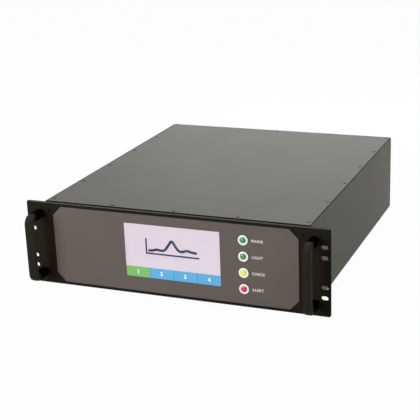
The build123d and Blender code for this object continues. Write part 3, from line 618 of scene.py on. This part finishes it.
def block(mesh, low, high, finish=0):
    """Plain plate or block between two corners."""
    before = set(mesh.verts)
    low, high = Vector(low), Vector(high)
    place = Matrix.Translation((low + high) / 2) @ Matrix.Diagonal((*(high - low), 1.0))
    bmesh.ops.create_cube(mesh, size=1.0, matrix=place)
    newest(mesh, before, finish)


def add_mesh(mesh, data, place, finish=0):
    """Adds a finished mesh at a place."""
    before = set(mesh.verts)
    mesh.from_mesh(data)
    bmesh.ops.transform(mesh, matrix=place, verts=newest(mesh, before, finish))


def meshed(curve):
    """A mesh of a text or curve, whose object is then removed."""
    holder = in_scene("pattern", curve)
    bpy.context.view_layer.update()
    data = bpy.data.meshes.new_from_object(holder.evaluated_get(bpy.context.evaluated_depsgraph_get()))
    bpy.data.objects.remove(holder)
    return data


def lettering(mesh, words, height, place, thickness=PRINT_THICKNESS, align="LEFT", finish=0):
    """Words of a given capital height, lying on the place's plane."""
    text = bpy.data.curves.new("letters", "FONT")
    text.body = words
    text.align_x = align
    text.extrude = 0.5
    text.offset = 0.03
    text.space_character = 1.08
    text.resolution_u = 3
    data = meshed(text)
    scale = height / max(v.co.y for v in data.vertices)
    add_mesh(mesh, data, place @ Matrix.Diagonal((scale, scale, thickness, 1.0)), finish)
    bpy.data.meshes.remove(data)


def screw_pattern(radius, height, socket, depth):
    """Socket screw head that sits on the origin and looks up."""
    mesh = bmesh.new()
    collar = socket * 1.25
    profile = [(radius, 0.0), (radius, height * 0.4), (radius * 0.93, height * 0.8), (radius * 0.8, height),
               (collar, height)]
    turn(mesh, profile, FACING["top"], steps=24)
    rim = [e for e in mesh.edges if all(abs(v.co.xy.length - collar) < 1e-6 for v in e.verts)]
    before = set(mesh.edges)
    bmesh.ops.create_circle(mesh, cap_ends=False, radius=socket, segments=6,
                            matrix=Matrix.Translation((0, 0, height)))
    mouth = [e for e in mesh.edges if e not in before]
    bmesh.ops.bridge_loops(mesh, edges=rim + mouth)
    sunk = bmesh.ops.extrude_edge_only(mesh, edges=mouth)["geom"]
    bmesh.ops.translate(mesh, vec=(0, 0, -depth), verts=only(bmesh.types.BMVert, sunk))
    bmesh.ops.contextual_create(mesh, geom=only(bmesh.types.BMEdge, sunk))
    return settled("screw pattern", mesh)


def screws(name, pattern, places, finish):
    """One piece of like screws at several places."""
    mesh = bmesh.new()
    for place in places:
        add_mesh(mesh, pattern, place)
    return piece(name, mesh, [finish], "case")


class CONTROLLER_OT_paint_case(bpy.types.Operator):
    """Paint the tray, the cover and the rear panel, give the rails under the cover a near-black painted
    shade, and plate the clamp
    """

    bl_idname = "controller.paint_case"
    bl_label = "Paint the case"

    def execute(self, context):
        tint = tints()
        coat = {"tint": tint.case_paint, "roughness": 0.6, "per_metre": 1400, "gloss": 0.1}
        grey = painted("case_grey", **coat)
        dress(grey, "top_cover", "rear_panel")
        # Painted shade: the flat tops of the side walls are dark and without gloss, for the shadow line of
        # the seam beside the cover
        edges = {"tint": tint.wall_edge, "axis": "Z", "start": 0.8, "end": 0.95, "dull": True}
        dress(painted("tray_grey", **coat, painted_shading=[edges]), "chassis_tray")
        # Painted shade: the rails, the bulkhead and the front edging get a near-black coat for the shade in
        # the seams
        seam_shade_finish = painted("rail_dark", tint.rail_primer, roughness=0.7, per_metre=1400, gloss=0.0)
        dress(seam_shade_finish, "cover_rail_left", "cover_rail_right", "front_bulkhead")
        self.trim([seam_shade_finish, grey], sizes().trim_width)
        dress(brushed("plated_steel", tint.zinc, roughness=0.34, stretch=(40, 40, 900)), "display_clamp")
        return {"FINISHED"}

    def trim(self, finishes, width):
        """Edging that closes the cover's seams: near-black at its front, as painted shade for the seam there,
        and grey along its sides.
        """
        mesh = bmesh.new()
        left, right = cover_low.x - width, cover_high.x + width
        front = cover_low.y - width
        block(mesh, (left, front, cover_low.z), (right, cover_low.y, cover_high.z))
        for near, far in ((left, cover_low.x), (cover_high.x, right)):
            block(mesh, (near, cover_low.y, cover_low.z), (far, cover_high.y, cover_high.z), finish=1)
        piece("cover_edging", mesh, finishes, "case")


class CONTROLLER_OT_coat_front(bpy.types.Operator):
    """Coat the front panel and the raised fascia plate"""

    bl_idname = "controller.coat_front"
    bl_label = "Coat the front"

    def execute(self, context):
        tint = tints()
        # Painted highlight: a light band along the panel's upper edge, where the light falls
        foot = panel_high.z - sizes().panel_wear
        fade = 0.00005
        slope = {"tint": tint.panel_edge, "axis": "Z", "start": foot - fade, "end": foot + fade,
                 "by": "Object"}
        # Painted shade: the panel's flat top is darkened
        top = {"tint": lighter(tint.panel_coat, 0.6), "axis": "Z", "start": 0.8, "end": 0.95}
        black = painted("panel_black", tint.panel_coat, roughness=0.65, per_metre=1700, gloss=0.05,
                        painted_shading=[slope, top])
        dress(black, "front_panel")
        grey = painted("fascia_grey", tint.fascia_coat, roughness=0.6, per_metre=2000, gloss=0.25)
        dress(grey, "fascia_plate")
        return {"FINISHED"}


class CONTROLLER_OT_make_handles(bpy.types.Operator):
    """Bend two flat bars with soft edges into bow handles"""

    bl_idname = "controller.make_handles"
    bl_label = "Make the handles"

    def execute(self, context):
        size = sizes()
        across = handles_high.x - size.handle_width / 2
        top = handles_high.z - size.handle_depth / 2
        grip = handles_low.y + size.handle_depth / 2
        reach = panel_low.y - grip - size.handle_bend
        mesh = bmesh.new()
        finishes = []
        # Painted light and shade: how much the front and the right flank of the left and the right handle are
        # lightened or darkened
        for side, front, flank in ((-1, 0.85, 3.8), (1, 1.0, 1.4)):
            self.bar(mesh, Vector((side * across, panel_low.y, top)), reach, len(finishes))
            # A lit or shaded copy of the one satin black for each handle
            finishes.append(self.satin(f"handle_black_{len(finishes) + 1}", grip, front, flank))
        handles = piece("bow_handles", mesh, finishes, "case", sharp=40)
        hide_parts("handles")
        return {"FINISHED"}

    def satin(self, name, grip, front, flank):
        """Satin black, with its front lightened or darkened for each handle, a painted highlight on the
        upward faces, painted light on the right flank, and painted shade without gloss on the legs towards
        the panel.
        """
        tint = tints().handle_grip
        # Painted highlight on upward faces
        upward = {"tint": lighter(tint, 1.8), "axis": "Z", "start": 0.3, "end": 0.8}
        # Painted light on the faces that look right
        aside = {"tint": lighter(tint, flank), "axis": "X", "start": 0.3, "end": 0.8}
        # Painted shade on the legs towards the panel
        legs = {"tint": tints().handle_coat, "axis": "Y", "start": grip + 0.0035, "end": grip + 0.013,
                "dull": True, "by": "Object"}
        return painted(name, lighter(tint, front), roughness=0.55, per_metre=1500, gloss=0.05,
                       painted_shading=[upward, aside, legs])

    def bar(self, mesh, foot, reach, finish):
        """One bar from its upper foot, out, down and back to the panel."""
        size = sizes()
        bend = size.handle_bend
        before = set(mesh.verts)
        section = bmesh.ops.create_grid(mesh, x_segments=1, y_segments=1, size=0.5)["verts"]
        bmesh.ops.scale(mesh, vec=(size.handle_width, size.handle_depth, 1.0), verts=section)
        rounded = bmesh.ops.bevel(mesh, geom=section, offset=size.handle_round, segments=3, profile=0.5,
                                  affect="VERTICES", material=-1)
        face = next(f for v in rounded["verts"] for f in v.link_faces)
        bmesh.ops.transform(mesh, matrix=Matrix.Translation(foot) @ FACING["front"], verts=face.verts)
        out = Vector((0, -reach, 0))
        face = self.straight(mesh, face, out)
        face = self.turned(mesh, face, foot + out + Vector((0, 0, -bend)))
        face = self.straight(mesh, face, Vector((0, 0, -2 * (foot.z - bend))))
        face = self.turned(mesh, face, Vector((foot.x, foot.y - reach, bend - foot.z)))
        self.straight(mesh, face, -out)
        newest(mesh, before, finish)

    def straight(self, mesh, face, way):
        """Draws the bar's end straight on, and gives the new end."""
        made = bmesh.ops.extrude_face_region(mesh, geom=[face])["geom"]
        bmesh.ops.translate(mesh, vec=way, verts=only(bmesh.types.BMVert, made))
        return only(bmesh.types.BMFace, made)[0]

    def turned(self, mesh, face, centre):
        """Takes the bar's end a quarter round a centre, and gives the new end."""
        made = bmesh.ops.spin(mesh, geom=[face], cent=centre, axis=(1, 0, 0), angle=math.radians(90),
                              steps=14)
        return only(bmesh.types.BMFace, made["geom_last"])[0]


class CONTROLLER_OT_make_indicators(bpy.types.Operator):
    """Turn the indicators' rings and domed lenses, and print a word beside each"""

    bl_idname = "controller.make_indicators"
    bl_label = "Make the indicators"

    def execute(self, context):
        tint, size = tints(), sizes()
        outer = (bezels_high.x - bezels_low.x) / 2
        face = fascia_low.y
        rise = face - bezels_low.y
        rings = bmesh.new()
        words = bmesh.new()
        for number, ((word, slot), (low, high)) in enumerate(zip(INDICATORS, lens_boxes), 1):
            middle = (low + high) / 2
            radius = (high.x - low.x) / 2 - size.lens_margin
            place = at(middle.x, face, middle.z, "front")
            self.ring(rings, outer, radius, rise, place)
            block(rings, (middle.x - radius, face, middle.z - radius),
                  (middle.x + radius, bezels_high.y, middle.z + radius))
            glow = tinted_lens(f"{slot}_{number}", getattr(tint, slot), (middle.x, low.y, middle.z), radius)
            dome = self.dome(radius, face - low.y, place)
            lens = piece(f"lens_{number}", dome, [glow], "case", sharp=50)
            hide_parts(f"indicator_lens_{number}")
            start = at(middle.x + size.word_gap, face - PRINT_LIFT, middle.z - size.word_height / 2, "front")
            lettering(words, word, size.word_height, start)
        # The rings' finish carries a painted glow, and the dark band round each ring is painted shade
        finishes = [glossy("bright_ring", tint.ring_white), moulded("gasket_black", tint.moulding_black, 0.6)]
        made = piece("indicator_rings", rings, finishes, "case", sharp=50)
        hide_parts("indicator_bezels")
        piece("indicator_words", words, [printed("print_white", tint.print_white)], "case")
        return {"FINISHED"}

    def ring(self, mesh, outer, lens, rise, place):
        """Rounded ring with a dished mouth round the lens, in a thin dark band of painted shade."""
        edge, lip = outer - sizes().gasket_width, rise * 0.3
        turn(mesh, [(edge, 0.0), (outer, 0.0), (outer, lip), (edge, lip), (edge, 0.0)], place, finish=1)
        inner = lens * 1.01
        wall = edge - CLEARANCE - inner
        section = ((0.0, 0.0), (0.0, 0.55), (0.12, 0.82), (0.3, 1.0), (0.62, 1.0), (0.85, 0.9), (1.0, 0.6),
                   (1.0, 0.0), (0.0, 0.0))
        turn(mesh, [(inner + wall * across, rise * up) for across, up in section], place)

    def dome(self, radius, top, place):
        """Low dome of a lens, with its seat just above the fascia."""
        seat = 0.0002
        section = ((1.0, 0.5), (0.93, 0.68), (0.78, 0.83), (0.52, 0.95), (0.24, 0.993), (0.0, 1.0))
        profile = [(0.0, seat), (radius, seat)]
        profile += [(radius * across, top * up) for across, up in section]
        mesh = bmesh.new()
        turn(mesh, profile, place)
        return mesh


class CONTROLLER_OT_make_display(bpy.types.Operator):
    """Light the display: its field, four channel tabs with numbers, and a temperature trace"""

    bl_idname = "controller.make_display"
    bl_label = "Make the display"

    def execute(self, context):
        tint, size = tints(), sizes()
        dress(clear_glass("screen_glass"), "touch_glass")
        dress(moulded("screen_module", tint.module_back, 0.6), "lcd_module")
        left, right = glass_low.x + size.window_border_across, glass_high.x - size.window_border_across
        base, top = glass_low.z + size.window_border_rise, glass_high.z - size.window_border_rise
        over = size.display_overlap
        foot, tab_top = base - over, base + size.tab_height
        back = glass_high.y + size.display_gap
        layers = [back - step * PICTURE_LAYER for step in (1 / 6, 1, 1.5, 2, 2.5)]
        behind, field, line, tabs, numbers = layers
        mesh = bmesh.new()
        block(mesh, (left - over, field, foot), (right + over, behind, top + over), FIELD)
        step = (right - left) / 4
        block(mesh, (left + step, line, foot), (right, field, tab_top), LINE)
        for tab in range(4):
            start = left + tab * step + (size.tab_line if tab else -over)
            end = left + (tab + 1) * step + (over if tab == 3 else 0.0)
            block(mesh, (start, tabs, foot), (end, field, tab_top), IDLE if tab else ACTIVE)
            number_base = base + (size.tab_height - size.number_height) / 2
            place = at(left + (tab + 0.5) * step, numbers, number_base, "front")
            lettering(mesh, str(tab + 1), size.number_height, place, PICTURE_LAYER, "CENTER", NUMBER)
        self.trace(mesh, (left + right) / 2, (tab_top + top) / 2, tabs)
        lights = [
            lit("display_field", tint.screen_field, 0.93),
            lit("tab_active", tint.tab_active, 0.95),
            lit("tab_idle", tint.tab_idle, 0.95),
            lit("display_print", tint.print_white, 0.95),
            lit("trace_ink", tint.trace_ink, 0.6),
            lit("tab_line", lighter(tint.tab_idle, 0.62), 0.95),
        ]
        piece("display_picture", mesh, lights, "case", sharp=80)
        return {"FINISHED"}

    def trace(self, mesh, x, z, depth):
        """A graph's two axes and a smooth temperature line with one warm peak."""
        size = sizes()
        half, rise, axis = size.trace_reach, size.trace_rise, size.trace_axis
        near = depth - PICTURE_LAYER
        block(mesh, (x - half, near, z - rise), (x + half, depth, z - rise + axis), INK)
        block(mesh, (x - half, near, z - rise), (x - half + axis, depth, z + rise), INK)
        curve = bpy.data.curves.new("trace", "CURVE")
        curve.dimensions = "3D"
        curve.bevel_depth = size.trace_line
        curve.bevel_resolution = 1
        curve.use_fill_caps = True
        spline = curve.splines.new("NURBS")
        route = ((-0.9, -0.55), (-0.72, -0.5), (-0.58, -0.3), (-0.44, -0.42), (-0.28, -0.38),
                 (-0.14, 0.3), (0.0, 1.05), (0.12, 0.3), (0.26, -0.32), (0.42, -0.26), (0.56, -0.06),
                 (0.7, -0.24), (0.92, -0.3))
        spline.points.add(len(route) - 1)
        for point, (along, up) in zip(spline.points, route):
            point.co = (x + along * half, 0.0, z + up * rise, 1.0)
        spline.order_u = 3
        spline.use_endpoint_u = True
        data = meshed(curve)
        flat = Matrix.Diagonal((1.0, 0.02, 1.0, 1.0))
        add_mesh(mesh, data, Matrix.Translation((0, depth - PICTURE_LAYER * 0.7, 0)) @ flat, INK)
        bpy.data.meshes.remove(data)


class CONTROLLER_OT_fit_screws(bpy.types.Operator):
    """Fit the screws of the cover, the front panel, the handles and the rear"""

    bl_idname = "controller.fit_screws"
    bl_label = "Fit the screws"

    def execute(self, context):
        size = sizes()
        black = blackened("screw_black", tints().screw_black)
        self.cover(size, black)
        flush = screw_pattern(size.panel_screw, height=0.0003, socket=0.0013, depth=0.00028)
        coat = lighter(tints().panel_coat, 0.3)
        dark = painted("screw_dark", coat, roughness=0.5, per_metre=1700, gloss=0.06)
        places = four_corners(size.panel_screw_across, panel_low.y, size.panel_screw_rise, "front")
        screws("panel_screws", flush, places, dark)
        across = handles_high.x - size.handle_width / 2
        rise = handles_high.z - size.handle_depth / 2
        button = screw_pattern(size.handle_screw, height=0.0027, socket=0.0017, depth=0.0016)
        places = four_corners(across, panel_high.y, rise, "rear")
        screws("handle_screws", button, places, black)
        self.rear(size, black)
        return {"FINISHED"}

    def cover(self, size, black):
        """Flush screws round the cover: six along each side, three more along each end."""
        pattern = screw_pattern(size.cover_screw, size.cover_screw_proud, socket=0.0011, depth=0.00018)
        across = cover_high.x - size.cover_edge
        front, last = cover_low.y + size.cover_end, cover_high.y - size.cover_end
        first = cover_low.y + size.cover_first
        rows = [first + (last - first) * step / 5 for step in range(6)]
        places = [at(side * across, row, cover_high.z, "top") for side in SIDES for row in rows]
        columns = [step * size.cover_pitch for step in (-1, 0, 1)]
        places += [at(x, row, cover_high.z, "top") for x in columns for row in (front, last)]
        screws("cover_screws", pattern, places, black)

    def rear(self, size, black):
        """Button screws of the rear panel, the fan and the mains inlet."""
        pattern = screw_pattern(size.rear_screw, height=0.0017, socket=0.0012, depth=0.001)
        face = rear_high.y
        across = tray_high.x - size.rear_screw_inset
        rows = (-0.046, -0.004, 0.038)
        places = [at(side * across, face, row, "rear") for side in SIDES for row in rows]
        fan = (fan_low + fan_high) / 2
        reach = (fan_high.x - fan_low.x) / 2 - size.fan_screw_inset
        places += four_corners(reach, face, reach, "rear", fan.x, fan.z)
        inlet = (inlet_low + inlet_high) / 2
        reach = size.inlet_screw_across
        places += [at(inlet.x + side * reach, inlet_high.y, inlet.z, "rear") for side in SIDES]
        screws("rear_screws", pattern, places, black)


class CONTROLLER_OT_finish_rear(bpy.types.Operator):
    """Finish the fan, the sockets, the fibre ports and the terminals, and mark the mains rocker"""

    bl_idname = "controller.finish_rear"
    bl_label = "Finish the rear"

    def execute(self, context):
        tint = tints()
        dress(moulded("black_plastic", tint.moulding_black), "fan_frame", "fan_rotor", "power_inlet",
              "switch_frame", "power_rocker")
        dress(brushed("socket_steel", tint.zinc, roughness=0.3, stretch=(900, 60, 60)), "network_port",
              "usb_port")
        dress(moulded("adapter_green", tint.adapter_green, 0.42), "fibre_adapters")
        dress(moulded("cap_white", tint.cap_white, 0.45), "fibre_cap_1", "fibre_cap_2", "fibre_cap_3",
              "fibre_cap_4")
        dress(moulded("terminal_green", tint.terminal_green, 0.48), "relay_terminals")
        self.rocker_marks(printed("rocker_white", tint.print_white))
        self.print_words(printed("rear_print", tint.print_white))
        self.inlet_blades(brushed("blade_steel", tint.zinc, roughness=0.3, stretch=(60, 900, 60)))
        self.terminal_screws(brushed("terminal_steel", tint.zinc, roughness=0.3, stretch=(500, 500, 500)))
        lamps = [moulded("lamp_amber", tint.lamp_amber, 0.3), moulded("lamp_green", tint.lens_green, 0.3)]
        self.socket_lamps(lamps)
        return {"FINISHED"}

    def print_words(self, white):
        """Words and port numbers on the rear panel."""
        size = sizes()
        spots = []
        for words, node, lift in REAR_WORDS:
            low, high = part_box(node)
            spots.append((words, (low.x + high.x) / 2, high.z + lift))
        for number, (low, high) in enumerate(cap_boxes, 1):
            spots.append((str(number), (low.x + high.x) / 2, adapters_high.z + size.port_number_lift))
        mesh = bmesh.new()
        for words, x, z in spots:
            place = at(x, rear_high.y + PRINT_LIFT, z, "rear print")
            lettering(mesh, words, size.rear_word_height, place, align="CENTER")
        piece("rear_words", mesh, [white], "case")

    def inlet_blades(self, steel):
        """Bright blades of the mains inlet, one over two."""
        half = Vector((0.00105, 0.0, 0.00205))
        root, tip = rear_high.y - 0.018, rear_high.y - 0.00355
        spread, rise = 0.007, 0.0026
        middle = (inlet_low + inlet_high) / 2
        mesh = bmesh.new()
        for across, up in ((0.0, rise), (-spread, -rise), (spread, -rise)):
            x, z = middle.x + across, middle.z + up
            block(mesh, (x - half.x, root, z - half.z), (x + half.x, tip, z + half.z))
        piece("inlet_blades", mesh, [steel], "case")

    def terminal_screws(self, steel):
        """One screw over each way of the relay terminals, in the middle of the sloped face."""
        low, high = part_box("relay_terminals")
        ways, pitch = 16, 0.00508
        slope_depth, slope_height = 0.0052, 0.0072
        lean = Matrix.Rotation(math.atan2(slope_depth, slope_height), 4, "X") @ FACING["rear"]
        first = (low.x + high.x) / 2 - (ways - 1) / 2 * pitch
        y, z = high.y - slope_depth / 2, high.z - slope_height / 2
        pattern = screw_pattern(radius=0.0015, height=0.0003, socket=0.0007, depth=0.00025)
        places = [Matrix.Translation((first + way * pitch, y, z)) @ lean for way in range(ways)]
        screws("terminal_screws", pattern, places, steel)

    def socket_lamps(self, finishes):
        """Two small lamps over each network socket."""
        low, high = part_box("network_port")
        middle = (low + high) / 2
        socket_across, lamp_across, lamp_rise = 0.0081, 0.0038, 0.0057
        width, height, proud = 0.0028, 0.0016, 0.00015
        mesh = bmesh.new()
        for socket in SIDES:
            for finish, side in enumerate(SIDES):
                x = middle.x + socket * socket_across + side * lamp_across
                z = middle.z + lamp_rise
                block(mesh, (x - width / 2, high.y, z - height / 2),
                      (x + width / 2, high.y + proud, z + height / 2), finish)
        piece("socket_lamps", mesh, finishes, "case")

    def rocker_marks(self, white):
        """A bar and a ring on the rocker's two faces, which fall away from its ridge."""
        pivot = Vector(next(j for j in frame["joints"] if j["name"] == "rocker_tilt")["pos_m"])
        lean = math.radians(10)
        ridge, dish, half = 0.004, 0.0026, 0.0114
        slope = math.atan2(dish, half)
        along_face = 0.55
        sunk, proud = -CLEARANCE, 0.00006
        bar_across, bar_along = 0.0004, 0.0022
        ring_inner, ring_outer = 0.0014, 0.0021
        up = Vector((0, math.sin(lean), math.cos(lean)))
        out = Vector((0, math.cos(lean), -math.sin(lean)))
        mesh = bmesh.new()
        for side in (1, -1):
            along = up * (side * math.cos(slope)) + out * math.sin(slope)
            normal = out * math.cos(slope) - up * (side * math.sin(slope))
            centre = pivot + up * (side * half * along_face) + out * (ridge + dish * along_face)
            turned = Matrix((along.cross(normal), along, normal)).transposed().to_4x4()
            place = Matrix.Translation(centre) @ turned
            before = set(mesh.verts)
            if side > 0:
                block(mesh, (-bar_across, -bar_along, sunk), (bar_across, bar_along, proud))
            else:
                profile = [(ring_inner, sunk), (ring_outer, sunk), (ring_outer, proud), (ring_inner, proud),
                           (ring_inner, sunk)]
                turn(mesh, profile, FACING["top"], steps=32)
            bmesh.ops.transform(mesh, matrix=place, verts=newest(mesh, before))
        piece("rocker_marks", mesh, [white], "rocker")


class CONTROLLER_OT_finish_inside(bpy.types.Operator):
    """Finish the equipment inside the case"""

    bl_idname = "controller.finish_inside"
    bl_label = "Finish the inside"

    def execute(self, context):
        tint = tints()
        dress(brushed("mill_aluminium", tint.aluminium, roughness=0.36, stretch=(30, 800, 800)),
              "optics_plate", "laser_heatsink", "computer_heatsink", "power_supply")
        dress(painted("module_black", tint.module_black, roughness=0.45, per_metre=2200, gloss=0.4),
              "laser_module", "filter_module", "detector_module_1", "detector_module_2", "optical_switch",
              "reference_coil")
        dress(brushed("standoff_brass", tint.brass, roughness=0.3, stretch=(300, 300, 40)), "board_standoffs")
        dress(circuit("board_green", tint.board_green), "computer_board", "acquisition_board")
        return {"FINISHED"}


class CONTROLLER_OT_set_stage(bpy.types.Operator):
    """Set the floor, the light and the camera"""

    bl_idname = "controller.set_stage"
    bl_label = "Set the stage"

    def execute(self, context):
        stage = context.scene.controller_stage
        self.floor(stage)
        self.sky(context, stage)
        self.lamp("key lamp", place=(-0.06, 1.09, 0.78), target=(0.0, 0.35, 0.0), size=1.2,
                  energy=stage.key_power)
        self.lamp("side lamp", place=(1.2, 1.2, 0.5), target=(0.2, 0.3, 0.0), size=0.8,
                  energy=stage.side_power, tint=(1.0, 0.88, 0.76))
        self.lamp("fill lamp", place=(-1.2, -2.0, 0.68), target=(0.0, 0.0, 0.0), size=1.35,
                  energy=stage.fill_power)
        self.camera(context, stage)
        context.scene.view_settings.view_transform = "Standard"
        return {"FINISHED"}

    def seen(self, tree):
        """1 where the camera, a reflection or glass looks."""
        path = tree.nodes.new("ShaderNodeLightPath")
        total = path.outputs["Is Camera Ray"]
        for other in ("Is Glossy Ray", "Is Transmission Ray"):
            most = add_node(tree, "Math", {0: total, 1: path.outputs[other]})
            most.operation = "MAXIMUM"
            total = most.outputs["Value"]
        return total

    def mixed(self, tree, amount, under, over):
        """A shader that goes from one to another by an amount."""
        return add_node(tree, "MixShader", {"Fac": amount, 1: under, 2: over}).outputs["Shader"]

    def floor(self, stage):
        """Pale floor that keeps the shadow, and is near white where it is seen."""
        mesh = bmesh.new()
        bmesh.ops.create_grid(mesh, x_segments=1, y_segments=1, size=20.0,
                              matrix=Matrix.Translation((0, 0, cad_low.z)))
        ground = in_scene("floor", settled("floor", mesh))
        material = bpy.data.materials.new("pale_floor")
        tree = empty_tree(material)
        matt = add_node(tree, "BsdfDiffuse", {"Color": (*tints().floor, 1.0)})
        white = tree.nodes.new("ShaderNodeEmission")
        level = add_node(tree, "Math", {0: self.seen(tree), 1: stage.floor_glow})
        level.operation = "MULTIPLY"
        surface = self.mixed(tree, level.outputs["Value"], matt.outputs["BSDF"], white.outputs["Emission"])
        add_node(tree, "OutputMaterial", {"Surface": surface})
        ground.data.materials.append(material)

    def sky(self, context, stage):
        """Even light from all round, and plain white where it is seen."""
        world = bpy.data.worlds.new("studio")
        context.scene.world = world
        tree = empty_tree(world)
        pale = (1.0, 1.0, 1.0, 1.0)
        light = add_node(tree, "Background", {"Color": pale, "Strength": stage.sky_level})
        white = add_node(tree, "Background", {"Color": pale})
        surface = self.mixed(tree, self.seen(tree), light.outputs["Background"], white.outputs["Background"])
        add_node(tree, "OutputWorld", {"Surface": surface})

    def lamp(self, name, place, target, size, energy, tint=(1.0, 1.0, 1.0)):
        """Square soft lamp at a place, turned to a target."""
        data = bpy.data.lights.new(name, "AREA")
        data.size = size
        data.energy = energy
        data.color = tint
        made = in_scene(name, data)
        made.location = place
        made.rotation_euler = (Vector(target) - Vector(place)).to_track_quat("-Z", "Y").to_euler()

    def camera(self, context, stage):
        """Camera at its place, turned by its yaw, pitch and roll."""
        yaw, pitch, roll = stage.camera_yaw, stage.camera_pitch, stage.camera_roll
        level_ahead = Vector((-math.sin(yaw), math.cos(yaw), 0))
        level_right = Vector((math.cos(yaw), math.sin(yaw), 0))
        ahead = level_ahead * math.cos(pitch) - Vector((0, 0, math.sin(pitch)))
        level_up = level_ahead * math.sin(pitch) + Vector((0, 0, math.cos(pitch)))
        right = level_right * math.cos(roll) + level_up * math.sin(roll)
        up = level_up * math.cos(roll) - level_right * math.sin(roll)
        data = bpy.data.cameras.new("camera")
        data.sensor_width = 36.0
        data.lens = stage.camera_lens
        data.clip_end = 100.0
        made = in_scene("camera", data)
        turned = Matrix((right, up, -ahead)).transposed().to_4x4()
        made.matrix_world = Matrix.Translation(stage.camera_place) @ turned
        context.scene.camera = made


OPERATORS = (
    CONTROLLER_OT_paint_case,
    CONTROLLER_OT_coat_front,
    CONTROLLER_OT_make_handles,
    CONTROLLER_OT_make_indicators,
    CONTROLLER_OT_make_display,
    CONTROLLER_OT_fit_screws,
    CONTROLLER_OT_finish_rear,
    CONTROLLER_OT_finish_inside,
    CONTROLLER_OT_set_stage,
)


class CONTROLLER_PT_sidebar(bpy.types.Panel):
    """Steps that dress the controller, in order"""

    bl_label = "Sensing controller"
    bl_space_type = "VIEW_3D"
    bl_region_type = "UI"
    bl_category = "Controller"

    def draw(self, context):
        """Lists the steps."""
        for step in OPERATORS:
            self.layout.operator(step.bl_idname)


CLASSES = (ControllerColours, ControllerSizes, ControllerStage, *OPERATORS, CONTROLLER_PT_sidebar)


def register():
    """Registers the classes and gives the scene its settings."""
    for kind in CLASSES:
        bpy.utils.register_class(kind)
    bpy.types.Scene.controller_colours = PointerProperty(type=ControllerColours)
    bpy.types.Scene.controller_sizes = PointerProperty(type=ControllerSizes)
    bpy.types.Scene.controller_stage = PointerProperty(type=ControllerStage)


def unregister():
    """Takes the settings and the classes away again."""
    del bpy.types.Scene.controller_stage
    del bpy.types.Scene.controller_sizes
    del bpy.types.Scene.controller_colours
    for kind in reversed(CLASSES):
        bpy.utils.unregister_class(kind)


def main():
    """Dresses the controller step by step."""
    register()
    bpy.ops.controller.paint_case()
    bpy.ops.controller.coat_front()
    bpy.ops.controller.make_handles()
    bpy.ops.controller.make_indicators()
    bpy.ops.controller.make_display()
    bpy.ops.controller.fit_screws()
    bpy.ops.controller.finish_rear()
    bpy.ops.controller.finish_inside()
    bpy.ops.controller.set_stage()


if __name__ == "__main__":
    main()
